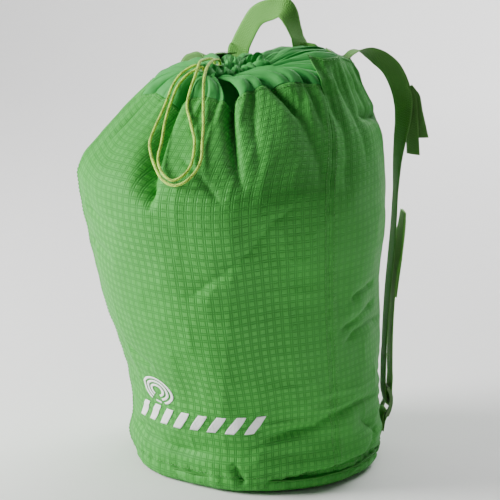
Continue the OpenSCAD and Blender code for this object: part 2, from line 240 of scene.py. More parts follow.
def mat_webbing(name, base):
    m = Nodes(name)
    uv, u, v = m.uv()
    ob = m.obj()
    # u runs across the width in metres, v along
    row = m.math("MULTIPLY", v, 2 * math.pi / 0.0018)
    rib = m.math("MULTIPLY", u, 2 * math.pi / 0.0026)
    tri = m.math("ABSOLUTE", m.math("SUBTRACT", m.math("FRACT", m.math("MULTIPLY", u, 1 / 0.0052)), 0.5))
    chev = m.math("SINE", m.math("ADD", row, m.math("MULTIPLY", tri, 9.0)))
    ribs = m.math("SINE", rib)
    edge = m.step(m.math("ABSOLUTE", u), 0.0098, 0.0118)
    fuzz = m.noise(uv, 1500, 3, 0.7)
    cloud = m.noise(ob, 26, 4, 0.6)
    col = m.mix(m.step(cloud, 0.3, 0.7), shade(base, 0.9), shade(base, 1.1))
    col = m.mix(m.math("MULTIPLY", m.step(chev, -0.1, 0.9), 0.35), col, shade(base, 0.62))
    col = m.mix(m.step(fuzz, 0.4, 0.8, 0.0, 0.3), col, shade(base, 1.4))
    col = m.mix(m.math("MULTIPLY", edge, 0.3), col, shade(base, 1.3))
    h = m.math("ADD", m.math("MULTIPLY", chev, 0.6), m.math("MULTIPLY", ribs, 0.35))
    n1 = m.bump(h, 0.7, 0.0004)
    n2 = m.bump(fuzz, 0.25, 0.0002, n1)
    return m.set(
        Base_Color=col, Roughness=m.step(cloud, 0.2, 0.8, 0.6, 0.75), Specular_IOR_Level=0.2,
        Sheen_Weight=0.04, Sheen_Roughness=0.5, Normal=n2,
    )


def mat_cord(name, base, fleck):
    m = Nodes(name)
    uv, u, v = m.uv()
    # v along in metres, u around 0..1
    a = m.math("FRACT", m.math("ADD", m.math("MULTIPLY", u, 4.0), m.math("MULTIPLY", v, 1 / 0.0042)))
    b = m.math("FRACT", m.math("SUBTRACT", m.math("MULTIPLY", u, 4.0), m.math("MULTIPLY", v, 1 / 0.0042)))
    ya = m.math("SINE", m.math("MULTIPLY", a, math.pi))
    yb = m.math("SINE", m.math("MULTIPLY", b, math.pi))
    top = m.math("MAXIMUM", ya, yb)
    one = m.math("FRACT", m.math("ADD", u, m.math("MULTIPLY", v, 1 / 0.0168)))
    two = m.math("FRACT", m.math("SUBTRACT", u, m.math("MULTIPLY", v, 1 / 0.0168)))
    dark = m.math("MAXIMUM", m.step(one, 0.0, 0.24, 1.0, 0.0), m.step(two, 0.0, 0.2, 1.0, 0.0))
    fuzz = m.noise(m.scaled(uv, 3, 900, 1), 1.0, 2)
    col = m.mix(m.math("MULTIPLY", dark, 0.85), base, fleck)
    # the low ground between the braid's strands is painted darker: painted shade in the grooves
    col = m.mix(m.step(top, 0.35, 0.85, 0.5, 0.0), col, shade(fleck, 0.6))
    col = m.mix(m.step(fuzz, 0.4, 0.7, 0.0, 0.2), col, shade(base, 1.25))
    n1 = m.bump(top, 0.9, 0.0005)
    return m.set(Base_Color=col, Roughness=0.62, Specular_IOR_Level=0.3, Sheen_Weight=0.2, Normal=n1)


def mat_thread(name, base):
    m = Nodes(name)
    ob = m.obj()
    n = m.noise(ob, 900, 3, 0.7)
    tw = m.noise(m.scaled(ob, 1, 1, 3), 500, 2)
    col = m.mix(n, shade(base, 0.75), shade(base, 1.3))
    return m.set(Base_Color=col, Roughness=0.6, Sheen_Weight=0.2, Normal=m.bump(tw, 0.6, 0.0004))


def mat_plastic(name, base):
    m = Nodes(name)
    ob = m.obj()
    fine = m.noise(ob, 1800, 3, 0.6)
    cloud = m.noise(ob, 60, 4, 0.6)
    scuff = m.noise(m.scaled(ob, 1, 1, 6), 240, 4, 0.7)
    col = m.mix(cloud, shade(base, 0.88), shade(base, 1.12))
    col = m.mix(m.step(scuff, 0.62, 0.75, 0.0, 0.35), col, shade(base, 1.5))
    return m.set(
        Base_Color=col, Roughness=m.step(scuff, 0.3, 0.8, 0.32, 0.55), Specular_IOR_Level=0.5,
        Normal=m.bump(fine, 0.12, 0.0002),
    )


def mat_print(name, base):
    m = Nodes(name)
    uv, u, v = m.uv()
    ob = m.obj()
    n = m.noise(ob, 420, 4, 0.7)
    crack = m.noise(ob, 90, 5, 0.75)
    grid = m.math("MAXIMUM", m.math("SINE", m.math("MULTIPLY", u, 2 * math.pi / 0.0042)),
                  m.math("SINE", m.math("MULTIPLY", v, 2 * math.pi / 0.0042)))
    col = m.mix(m.step(n, 0.4, 0.75, 0.0, 0.3), base, shade(base, 0.84))
    col = m.mix(m.step(crack, 0.66, 0.74, 0.0, 0.35), col, (0.45, 0.6, 0.45))
    return m.set(Base_Color=col, Roughness=0.45, Normal=m.bump(grid, 0.35, 0.0003, m.bump(n, 0.2, 0.0003)))


M_BODY = mat_ripstop("ripstop", GREEN)
M_BASE = mat_ripstop("base_ripstop", shade(GREEN, 0.78), 0.8)
M_COLLAR = mat_plain_cloth("collar_nylon", (0.046, 0.300, 0.062))
M_TAPE = mat_plain_cloth("binding_tape", (0.036, 0.20, 0.030))
M_WEB = mat_webbing("webbing", (0.090, 0.240, 0.050))
# lighter copy of the strap webbing for the handle and lower tabs: painted light
M_WEB_LIT = mat_webbing("handle_webbing", (0.120, 0.35, 0.062))
# the strap tail's webbing is a still lighter copy: painted light on a face that turns away from the key light
M_TAIL_PAINTED_LIGHT = mat_webbing("tail_webbing_painted_light", (0.175, 0.47, 0.085))
M_CORD = mat_cord("cord", (0.46, 0.74, 0.06), (0.10, 0.22, 0.02))
M_THREAD = mat_thread("thread", (0.05, 0.30, 0.035))
M_PLASTIC = mat_plastic("buckle", (0.075, 0.20, 0.035))
M_PRINT = mat_print("print", (0.86, 0.87, 0.88))


# ---------------------------------------------------------------- mesh helpers
def link(ob):
    bpy.context.collection.objects.link(ob)
    return ob


def mesh_obj(name, verts, faces, uvs=None, mat=None, smooth=True):
    me = bpy.data.meshes.new(name)
    me.from_pydata([tuple(map(float, v)) for v in verts], [], [tuple(map(int, f)) for f in faces])
    if uvs is not None:
        lay = me.uv_layers.new(name="UVMap")
        loops = np.zeros(len(me.loops), np.int64)
        me.loops.foreach_get("vertex_index", loops)
        lay.data.foreach_set("uv", np.asarray(uvs, np.float32)[loops].ravel())
    if smooth:
        me.polygons.foreach_set("use_smooth", [True] * len(me.polygons))
    me.update()
    ob = link(bpy.data.objects.new(name, me))
    if mat:
        me.materials.append(mat)
    return ob


def grid_faces(n, m, wrap_n=False, flip=False):
    i = np.arange(n if wrap_n else n - 1)
    j = np.arange(m - 1)
    I, J = np.meshgrid(i, j, indexing="ij")
    I2 = (I + 1) % n
    f = np.stack([I * m + J, I2 * m + J, I2 * m + J + 1, I * m + J + 1], -1).reshape(-1, 4)
    return f[:, ::-1] if flip else f


def apply_mods(ob):
    dg = bpy.context.evaluated_depsgraph_get()
    me = bpy.data.meshes.new_from_object(ob.evaluated_get(dg), preserve_all_data_layers=True, depsgraph=dg)
    old = ob.data
    ob.modifiers.clear()
    ob.data = me
    bpy.data.meshes.remove(old)


def solidify(ob, t, offset=-1.0):
    md = ob.modifiers.new("thick", "SOLIDIFY")
    md.thickness, md.offset, md.use_even_offset = t, offset, False
    apply_mods(ob)


def smoothstep(x, a, b):
    t = np.clip((x - a) / (b - a), 0, 1)
    return t * t * (3 - 2 * t)


_tab = rng.random((64, 64, 64)) * 2 - 1


def vnoise(p, scale, off=0.0):
    q = p * scale + off
    i = np.floor(q).astype(int)
    f = q - i
    f = f * f * f * (f * (f * 6 - 15) + 10)
    out = 0
    for a in (0, 1):
        for b in (0, 1):
            for c in (0, 1):
                w = (f[..., 0] if a else 1 - f[..., 0]) * (f[..., 1] if b else 1 - f[..., 1]) * (
                    f[..., 2] if c else 1 - f[..., 2])
                out = out + w * _tab[(i[..., 0] + a) % 64, (i[..., 1] + b) % 64, (i[..., 2] + c) % 64]
    return out


def catmull(P, m):
    P = np.asarray(P, float)
    Q = np.vstack([2 * P[0] - P[1], P, 2 * P[-1] - P[-2]])
    out = []
    for i in range(len(P) - 1):
        a, b, c, d = Q[i:i + 4]
        for k in range(m):
            t = k / m
            out.append(0.5 * (2 * b + (c - a) * t + (2 * a - 5 * b + 4 * c - d) * t * t + (3 * b - a - 3 * c + d) * t ** 3))
    out.append(P[-1])
    return np.array(out)


# ---------------------------------------------------------------- drawcord
CORD_D = 3.0
PT = 442.8
OUTER = [[-25, -58.5, PT], [-25, -58.5, 445.4], [-24.6, -61, 448], [-24, -68, 449.5], [-20, -84, 450],
         [-13, -106, 447], [-5, -126, 437.5], [1, -137, 420], [8.5, -149.5, 406.5], [15.5, -161, 395.5], [22.5, -175, 381],
         [29, -187.5, 369], [30, -199.5, 358.5], [24.5, -211.5, 349], [13, -215, 345], [-1, -213.5, 350],
         [-18.5, -200, 361.5], [-31, -187, 373], [-37, -176, 380], [-39, -163, 391.5],
         [-41, -147.5, 403.5], [-42.5, -134.5, 415.5], [-43, -124.5, 427], [-39, -116, 438],
         [-32, -108.5, 445], [-27, -104.6, 447.4], [-24.4, -103.4, 445.6], [-24.4, -103.4, PT]]
INNER = [[-32, -57.5, PT], [-32, -57.5, 445.4], [-31.7, -60, 448], [-31, -69, 450], [-28, -86, 451],
         [-22.5, -105, 451], [-18, -120, 441], [-17.5, -130.5, 428], [-16, -139.5, 415.5], [-11.5, -147.5, 408.5],
         [-3.5, -156, 401.5], [5, -165, 392.5], [13, -174, 384], [19, -185.5, 372], [21.5, -196, 361.5],
         [19.5, -206.5, 354], [11, -212, 349], [-0.5, -210, 353], [-11.5, -201.5, 360.5], [-17.5, -192.5, 368],
         [-20.5, -183, 376], [-24, -174, 384], [-29, -163, 392.5], [-33.5, -149.5, 403.5],
         [-35.5, -138, 414.5], [-35.5, -127.5, 427], [-31, -118, 437.5], [-25, -111.5, 443], [-20.4, -107.6, 446.4],
         [-18, -105.8, 445.4], [-18, -105.8, PT]]


def tube_mesh(name, line, d, sides, mat):
    """Round tube along a line in metres, with v along it and u around it."""
    line = np.asarray(line)
    t = np.gradient(line, axis=0)
    t /= np.linalg.norm(t, axis=1)[:, None]
    nrm = np.zeros_like(t)
    n0 = np.cross(t[0], [1, 0, 0]) if abs(t[0][0]) < 0.9 else np.cross(t[0], [0, 1, 0])
    for i in range(len(t)):
        n0 = n0 - t[i] * (n0 @ t[i])
        n0 /= np.linalg.norm(n0)
        nrm[i] = n0
    bn = np.cross(t, nrm)
    s = np.concatenate([[0], np.cumsum(np.linalg.norm(np.diff(line, axis=0), axis=1))])
    V, UV = [], []
    for i in range(len(line)):
        for k in range(sides + 1):
            w = 2 * math.pi * k / sides
            V.append(line[i] + d / 2 * (nrm[i] * math.cos(w) + bn[i] * math.sin(w)))
            UV.append((k / sides, s[i]))
    # the seam column is doubled, so that the UVs close
    m = sides + 1
    F = []
    for i in range(len(line) - 1):
        for k in range(sides):
            F.append((i * m + k, i * m + k + 1, (i + 1) * m + k + 1, (i + 1) * m + k))
    for e, i in ((0, 0), (1, len(line) - 1)):
        V.append(line[i])
        UV.append((0, s[i]))
        c = len(V) - 1
        for k in range(sides):
            F.append((i * m + k + 1, i * m + k, c) if e == 0 else (i * m + k, i * m + k + 1, c))
    ob = mesh_obj(name, V, F, UV, mat)
    import bmesh

    bm = bmesh.new()
    bm.from_mesh(ob.data)
    bmesh.ops.remove_doubles(bm, verts=bm.verts, dist=1e-6)
    bm.to_mesh(ob.data)
    bm.free()
    return ob, s[-1]


for nm, route in (("outer", OUTER), ("inner", INNER)):
    line = catmull(route, 6) * MM
    ob, ln = tube_mesh(f"drawcord_{nm}", line, CORD_D * MM, 14, M_CORD)
    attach(ob, "bag")
    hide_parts(f"drawcord_{nm}_strand")


# ---------------------------------------------------------------- bag fabric
ROWS = np.array([
    [0, 139, 0, 0], [19, 139, 0, 0], [50, 138, 0, -2], [80, 139, -0.6, -7], [110, 141.3, -1.4, -13.6],
    [170, 148.5, -5.2, -29.9], [230, 154, -7.7, -40.1], [290, 161.4, -10.3, -51.2], [330, 164, -11.2, -54.6],
    [347, 160.6, -10, -50], [360, 154.8, -7.7, -40.2], [390, 137.8, -3.8, -23.7], [422, 112.8, -1.7, -15.1]], float)
ZT = np.arange(0, 423.0)
_k = np.exp(-0.5 * (np.arange(-18, 19) / 3.4) ** 2)
_k /= _k.sum()
_k2 = np.exp(-0.5 * (np.arange(-40, 41) / 14.0) ** 2)
_k2 /= _k2.sum()
TAB, TAB2 = [], []
for c in (1, 2, 3):
    y = np.interp(ZT, ROWS[:, 0], ROWS[:, c])
    pad = np.concatenate([2 * y[0] - y[18:0:-1], y, 2 * y[-1] - y[-2:-20:-1]])
    TAB.append(np.convolve(pad, _k, "valid"))
    pad = np.concatenate([2 * y[0] - y[40:0:-1], y, 2 * y[-1] - y[-2:-42:-1]])
    TAB2.append(np.convolve(pad, _k2, "valid"))
SEAM_R, SEAM_L = -24.0, 218.0
K = 150 * math.pi / 180  # millimetres of cloth to a degree


def slump(a):
    """Where the front cloth sags down over the base seam."""
    return smoothstep(a, -141, -116) * (1 - smoothstep(a, -72, -40))


def body_base(a, z, lean=0.56):
    zz = np.minimum(z, 422)
    # the shoulder is a hard corner by the left seam and rounded elsewhere
    k = np.exp(-((np.minimum(np.abs(a + 142), np.abs(a - 218)) / 30.0) ** 2))
    r, cx, cy = [np.interp(zz, ZT, t) * k + np.interp(zz, ZT, t2) * (1 - k) for t, t2 in zip(TAB, TAB2)]
    r = r - np.maximum(z - 422, 0) * lean
    r = r + 3.0 * np.exp(-((z - 31) / 13.0) ** 2) - 1.6 * (1 - smoothstep(z, 12, 24))
    r = r + slump(a) * (3.4 * (1 - smoothstep(z, 10, 26)) - 4.2 * (1 - smoothstep(z, 3, 10)))
    w = np.radians(a)
    return np.stack([cx + r * np.cos(w), cy + r * np.sin(w), z], -1)


def poly_dist(S, Z, pts):
    """Distance to a line on the cloth, how far along it, and on which side."""
    P = np.array([[a * K, z] for a, z in pts])
    seg = np.linalg.norm(np.diff(P, axis=0), axis=1)
    tot = seg.sum()
    best = np.full(S.shape, 1e9)
    T = np.zeros(S.shape)
    sg = np.ones(S.shape)
    run = 0
    for p, q, L in zip(P[:-1], P[1:], seg):
        d = (q - p) / L
        x, y = S - p[0], Z - p[1]
        t = np.clip(x * d[0] + y * d[1], 0, L)
        dx, dy = x - t * d[0], y - t * d[1]
        dd = np.hypot(dx, dy)
        m = dd < best
        best = np.where(m, dd, best)
        T = np.where(m, (run + t) / tot, T)
        sg = np.where(m, np.sign(d[0] * y - d[1] * x), sg)
        run += L
    return best, T, sg


def fold(S, Z, pts, depth, left, right, amp=((0, 1), (1, 0)), power=1.4):
    """A valley along a line that runs downward: left and right are its half widths."""
    d, t, sg = poly_dist(S, Z, pts)
    w = np.where(sg > 0, right, left)
    k = np.interp(t, [x for x, _ in amp], [y for _, y in amp])
    return -depth * k * np.exp(-((d / w) ** power))


FULL = ((0, 0), (0.2, 1), (0.8, 1), (1, 0))
HEAD = ((0, 1), (0.55, 0.8), (1, 0))
FOLDS = [
    # line from its top end, depth, half width on its left and right, strength along it, power
    ([(-105, 428), (-103.5, 405), (-99.5, 380), (-95, 355), (-92.5, 340), (-91, 316)], 17, 13, 6, ((0, 1), (0.6, 0.9), (0.85, 0.55), (1, 0)), 1.5),
    ([(-93, 350), (-91.5, 336), (-91, 312)], 4, 3, 3, ((0, 0), (0.4, 1), (1, 0)), 1.4),
    ([(-74.5, 440), (-75, 418), (-73, 406), (-69, 389), (-64, 368), (-57, 340)], 19, 5, 3.4, ((0, 1), (0.35, 0.9), (0.6, 0.5), (1, 0)), 1.4),
    ([(-58, 442), (-51, 430), (-45, 419), (-41, 411), (-37, 402)], 11, 4, 7, ((0, 1), (0.7, 0.9), (1, 0)), 1.4),
    ([(-37, 401), (-35, 389), (-30.5, 367), (-27, 335)], 3.4, 9, 9, HEAD, 1.5),
    ([(-24, 432), (-20, 410), (-16, 390), (-15, 365), (-16, 326)], 2.6, 8, 9, FULL, 1.5),
    ([(-88, 369), (-80, 361), (-74, 352), (-68, 338), (-64, 328)], 1.9, 2.5, 2.5, FULL, 1.2),
    ([(-36, 329), (-46, 312), (-54.6, 281), (-64, 260), (-72, 242), (-82, 222)], 2.2, 9, 5, FULL, 1.2),
    ([(12, 86), (-8, 90), (-26, 83), (-34, 74), (-46, 69), (-58, 62), (-66, 45)], 3.4, 7, 5, FULL, 1.3),
    ([(21, 15), (4, 21), (-12, 25), (-22, 22), (-32, 20), (-46, 15), (-64, 11)], 4.6, 4, 5, FULL, 1.3),
    ([(-8, 72), (-1, 60), (9, 44), (5, 36), (-5, 22)], 3, 5, 5, FULL, 1.3),
    ([(12, 201), (-1, 193), (-11, 187), (-20, 180)], 3, 5, 6, FULL, 1.3),
    ([(8, 224), (-5, 220), (-14, 211)], 2.6, 4, 5, FULL, 1.3),
    ([(20, 172), (6, 178), (-7, 176), (-17, 163)], 3, 5, 6, FULL, 1.3),
    ([(36, 389), (22, 394), (8, 399), (-4, 404)], 6.0, 4, 6, FULL, 1.3),
    ([(-96, 66), (-80, 71), (-70, 76)], 1.4, 5, 5, FULL, 1.3),
    ([(-124, 150), (-114, 138), (-104, 132)], 2.2, 5, 6, FULL, 1.3),
    ([(-132, 300), (-120, 292), (-108, 288)], 1.8, 5, 6, FULL, 1.3),
    ([(-139, 262), (-126, 256), (-115, 248)], 1.8, 6, 6, FULL, 1.3),
    ([(-80, 45), (-100, 40), (-122, 50), (-138, 44)], 2.6, 6, 5, FULL, 1.3),
    ([(-72, 36), (-70, 24), (-67, 12)], 3.2, 3, 4, FULL, 1.3),
    ([(-127, 424), (-128, 400), (-129, 372), (-130, 350)], 3.0, 5, 6, HEAD, 1.4),
    ([(-116, 424), (-117, 404), (-118, 380)], 2.6, 4, 5, HEAD, 1.4),
    ([(-89, 424), (-88, 404), (-86, 384)], 2.4, 4, 4, HEAD, 1.4),
    ([(-82, 424), (-81, 398), (-79, 372)], 2.0, 4, 4, HEAD, 1.4),
    ([(-66, 436), (-62, 404), (-57, 376), (-52, 350)], 3.0, 5, 6, HEAD, 1.4),
    ([(-34, 436), (-30, 412), (-26, 385)], 2.4, 4, 5, HEAD, 1.4),
    ([(-12, 440), (-8, 412), (-4, 378), (-2, 350)], 1.9, 6, 7, HEAD, 1.4),
    ([(6, 442), (9, 410), (12, 380)], 1.5, 5, 5, HEAD, 1.4),
    ([(24, 442), (25, 408), (24, 372), (23, 350)], 1.8, 5, 6, HEAD, 1.4),
    # the side that faces away
    ([(54, 430), (55, 405), (57, 372), (58, 345)], 5.5, 5, 6, HEAD, 1.4),
    ([(67, 424), (67, 404), (68, 380)], 4.0, 4, 5, HEAD, 1.4),
    ([(79, 424), (80, 402), (82, 366), (83, 338)], 8.5, 6, 8, HEAD, 1.4),
    ([(92, 424), (92, 404), (91, 384)], 4.5, 4, 5, HEAD, 1.4),
    ([(105, 424), (104, 400), (102, 362), (100, 330)], 9.5, 8, 6, HEAD, 1.4),
    ([(118, 424), (118, 404), (119, 378)], 4.2, 4, 5, HEAD, 1.4),
    ([(132, 430), (131, 404), (129, 366), (128, 342)], 6.0, 6, 5, HEAD, 1.4),
    ([(146, 440), (146, 404), (147, 376)], 3.2, 4, 5, HEAD, 1.4),
    ([(164, 442), (163, 408), (161, 374), (160, 348)], 4.2, 6, 6, HEAD, 1.4),
    ([(181, 442), (181, 410), (182, 384)], 3.0, 5, 5, HEAD, 1.4),
    ([(199, 442), (198, 404), (196, 366), (195, 344)], 4.0, 6, 6, HEAD, 1.4),
    ([(211, 438), (211, 412), (210, 392)], 2.6, 4, 4, HEAD, 1.4),
    ([(60, 96), (78, 84), (96, 88), (116, 78)], 3.2, 6, 6, FULL, 1.3),
    ([(128, 132), (148, 120), (170, 124), (186, 112)], 2.8, 6, 6, FULL, 1.3),
    ([(70, 210), (88, 200), (104, 204)], 2.4, 6, 6, FULL, 1.3),
    ([(150, 250), (168, 240), (188, 246)], 2.4, 6, 6, FULL, 1.3),
    ([(110, 30), (80, 26), (50, 34)], 3.4, 5, 5, FULL, 1.3),
    ([(200, 32), (176, 26), (150, 33)], 3.2, 5, 5, FULL, 1.3),
]
RIDGES = [
    ([(-59, 352), (-60.5, 320), (-61, 282), (-64, 227), (-67.6, 170), (-73.5, 109), (-75.7, 61), (-74, 22)], 4.2, 34, FULL),
    ([(62, 340), (63, 250), (65, 160), (66, 40)], 3.2, 34, FULL),
    ([(150, 340), (148, 250), (146, 150), (146, 40)], 3.2, 34, FULL),
]


def body_disp(a, z, P):
    S, Z = a * K, z
    h = np.zeros(a.shape)
    near_l = np.minimum(np.abs(a - SEAM_L), np.abs(a - SEAM_L + 360))
    wl = smoothstep(near_l, 0, 9)
    for pts, dep, l, r, amp, pw in FOLDS:
        h += fold(S, Z, pts, dep * (1.3 if dep > 10 else 1.5), l, r, amp, pw)
    for pts, up, w, amp in RIDGES:
        d, t, sg = poly_dist(S, Z, pts)
        k = np.interp(t, [x for x, _ in amp], [y for _, y in amp])
        h += up * k * np.exp(-d / w)
    h = h * wl
    h0 = 0.0 * h
    more = 1 + 0.5 * (1 - smoothstep(z, 300, 350))
    h += 2.4 * vnoise(P, 1 / 95.0) + 1.2 * more * vnoise(P, 1 / 42.0, 5.3)
    h0, h = h, 0.0 * h
    low = 1 - smoothstep(z, 40, 210)
    q = np.stack([S / 60, Z / 15, 0 * S], -1)
    h += 1.6 * low * (1 - 2 * np.abs(vnoise(q, 1.0, 9.1)))
    q = np.stack([S / 26, Z / 34, 0 * S + 3], -1)
    h += 0.6 * more * (1 - 2 * np.abs(vnoise(q, 1.0, 2.7)))
    top = smoothstep(z, 345, 425)
    q = np.stack([S / 9, Z / 70, 0 * S + 8], -1)
    h += 1.5 * top * vnoise(q, 1.0, 1.9)
    q = np.stack([S / 8, Z / 11, 0 * S + 6], -1)
    h += 0.22 * vnoise(q, 1.0, 4.4)
    # puckers along the base seam
    h += 0.7 * np.sin(S / 3.1 + 2 * vnoise(q, 0.4)) * np.exp(-((z - 19) / 7.0) ** 2)
    h = h0 + h * wl
    # the seams lie in a groove
    for sa in (SEAM_R, SEAM_L, SEAM_L - 360):
        d = np.abs(a - sa) * K
        h += -0.3 * np.exp(-((d / 1.4) ** 2)) + 0.4 * np.exp(-(((d - 5) / 3.5) ** 2))
        h += 0.5 * np.exp(-((d / 6) ** 2)) * np.sin(z / 4.3 + 3 * vnoise(P, 1 / 50.0))
    return h


def normals(P, flip=False):
    du, dv = np.gradient(P, axis=0), np.gradient(P, axis=1)
    n = np.cross(du, dv)
    n /= np.maximum(np.linalg.norm(n, axis=-1, keepdims=True), 1e-9)
    return -n if flip else n


ZS_A = [-142, -135, -127, -112, -103, -97, -90, -77, -72, -66, -60, -50, -36, -24]
ZS_Z = [411, 409, 416, 414, 412, 416, 421, 418, 423, 430, 434, 436, 437, 433]


def fall(t):
    return np.cos(np.pi / 2 * np.clip(t, 0, 1)) ** 2


def sag(a):
    """How far the far left part of the rim slumps."""
    return 14 * smoothstep(a, 84, 122) * (1 - smoothstep(a, 190, 214))


def top_edge(a, back):
    if back:
        return (424 + 22 * (fall((a - 40) / 14) + 0.1 * fall((150 - a) / 14)) + 1.2 * np.sin(a / 5.0) + 12 * fall(a / 24)
                - sag(a))
    return np.interp(a, ZS_A, ZS_Z)


class Cloth:
    """Grid of displaced points of one body panel, which other pieces can be laid on."""

    def __init__(self, a0, a1, n, m, back):
        self.a0, self.a1, self.n, self.m, self.back = a0, a1, n, m, back
        a = np.linspace(a0, a1, n)[:, None] * np.ones((1, m))
        zt = top_edge(a[:, 0], back)
        t = np.linspace(0, 1, m)
        self.z0 = 13.0 - (0 if back else 9.6) * slump(a[:, 0])
        self.zt = zt
        z = self.z0[:, None] + (zt - self.z0)[:, None] * t[None, :]
        near = np.minimum(np.abs(a - SEAM_R), np.abs(a - SEAM_L))
        P = body_base(a, z, 0.9 - 0.34 * smoothstep(near, 0, 8) if back else 0.9)
        N = normals(P, flip=False)
        if (N[n // 2, m // 2] @ (P[n // 2, m // 2] - np.array([-6, -40, P[n // 2, m // 2][2]]))) < 0:
            N = -N
        h = body_disp(a, z, P)
        if back:
            h = h + 5.5 * smoothstep(z, 424, 438) * np.exp(-np.maximum(a - SEAM_R, 0) / 7.0)
            rise = np.maximum(z - 424, 0)
            h = h + 1.6 * np.sin(rise / 22 * math.pi) * np.sin(a / 4.1) * smoothstep(near, 0, 6)
        self.P = P + N * h[..., None]
        self.N = normals(self.P)
        if (self.N[n // 2, m // 2] @ N[n // 2, m // 2]) < 0:
            self.N = -self.N
        arc = np.concatenate([np.zeros((n, 1)), np.cumsum(np.linalg.norm(np.diff(P, axis=1), axis=-1), axis=1)], 1)
        self.UV = np.stack([a * K * MM, arc * MM], -1)

    def at(self, a, z, off=0.0):
        a, z = np.asarray(a, float), np.asarray(z, float)
        x = np.clip((a - self.a0) / (self.a1 - self.a0) * (self.n - 1), 0, self.n - 1.001)
        zt = np.interp(x, np.arange(self.n), self.zt)
        z0 = np.interp(x, np.arange(self.n), self.z0)
        y = np.clip((z - z0) / (zt - z0) * (self.m - 1), 0, self.m - 1.001)
        i, j = x.astype(int), y.astype(int)
        fx, fy = (x - i)[..., None], (y - j)[..., None]

        def bil(G):
            return (G[i, j] * (1 - fx) * (1 - fy) + G[i + 1, j] * fx * (1 - fy) + G[i, j + 1] * (1 - fx) * fy
                    + G[i + 1, j + 1] * fx * fy)

        nn = bil(self.N)
        nn /= np.linalg.norm(nn, axis=-1, keepdims=True)
        return bil(self.P) + nn * off, nn


front = Cloth(SEAM_L - 360, SEAM_R, 330, 300, False)
back = Cloth(SEAM_R, SEAM_L, 420, 260, True)


def grid_piece(name, P, UV, mat, thick=0.0, flip=False, offset=-1.0, wrap=False):
    n, m = P.shape[:2]
    ob = mesh_obj(name, P.reshape(-1, 3) * MM, grid_faces(n, m, wrap, flip), UV.reshape(-1, 2), mat)
    if thick:
        solidify(ob, thick * MM, offset)
    return ob


def check_out(ob, P, centre):
    """True when the first face of a grid looks away from centre."""
    p = ob.data.polygons[len(ob.data.polygons) // 2]
    c = Vector(p.center)
    return p.normal.dot(c - Vector(centre)) > 0


for nm, cl in (("front", front), ("back", back)):
    probe = grid_faces(cl.n, cl.m)
    f = probe[len(probe) // 2]
    q = cl.P.reshape(-1, 3)[f]
    nrm = np.cross(q[1] - q[0], q[2] - q[1])
    flip = nrm @ (q.mean(0) - np.array([-6, -40, q.mean(0)[2]])) < 0
    ob = grid_piece(f"body_fabric_{nm}", cl.P, cl.UV, M_BODY, 0.9, flip)
    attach(ob, "bag")
    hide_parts(f"{nm}_panel")


# ---------------------------------------------------------------- collar and hem
MC = np.array([-11.0, -62.0])
TURN = math.radians(-15)


def loop_pt(s, r, L=50.0):
    """Point of the mouth's outline at share s of its way round, clockwise from its back end."""
    q = math.pi * r / 2
    per = 4 * q + 2 * L
    d = (np.asarray(s) % 1.0) * per
    x = np.zeros_like(d)
    y = np.zeros_like(d)
    k = d < q
    w = d / r
    x, y = np.where(k, r * np.sin(w), x), np.where(k, L / 2 + r * np.cos(w), y)
    k = (d >= q) & (d < q + L)
    x, y = np.where(k, r, x), np.where(k, L / 2 - (d - q), y)
    k = (d >= q + L) & (d < 3 * q + L)
    w = (d - q - L) / r
    x, y = np.where(k, r * np.cos(w), x), np.where(k, -L / 2 - r * np.sin(w), y)
    k = (d >= 3 * q + L) & (d < 3 * q + 2 * L)
    x, y = np.where(k, -r, x), np.where(k, -L / 2 + (d - 3 * q - L), y)
    k = d >= 3 * q + 2 * L
    w = (d - 3 * q - 2 * L) / r
    x, y = np.where(k, -r * np.cos(w), x), np.where(k, L / 2 + r * np.sin(w), y)
    c, n = math.cos(TURN), math.sin(TURN)
    return MC[0] + x * c - y * n, MC[1] + x * n + y * c


VALLEYS = [-142, -128, -104, -75, -57, -43, -31, -19, -6, 9, 24, 40, 55, 70, 84, 99, 113, 128, 143, 158, 174, 190, 205, 218]
HEIGHTS = [10, 16, 15, 9, 9, 10, 7, 9, 12, 11, 13, 10, 12, 9, 12, 9, 12, 9, 11, 10, 8, 9, 7]


def pillows(a, amount=0.6):
    h = np.zeros(a.shape)
    for v0, v1, hh in zip(VALLEYS[:-1], VALLEYS[1:], HEIGHTS):
        u = (a - v0) / (v1 - v0)
        k = (u >= 0) & (u <= 1)
        h = np.where(k, hh * (np.sin(np.pi * np.clip(u, 0, 1)) ** amount - 0.45), h)
    return h


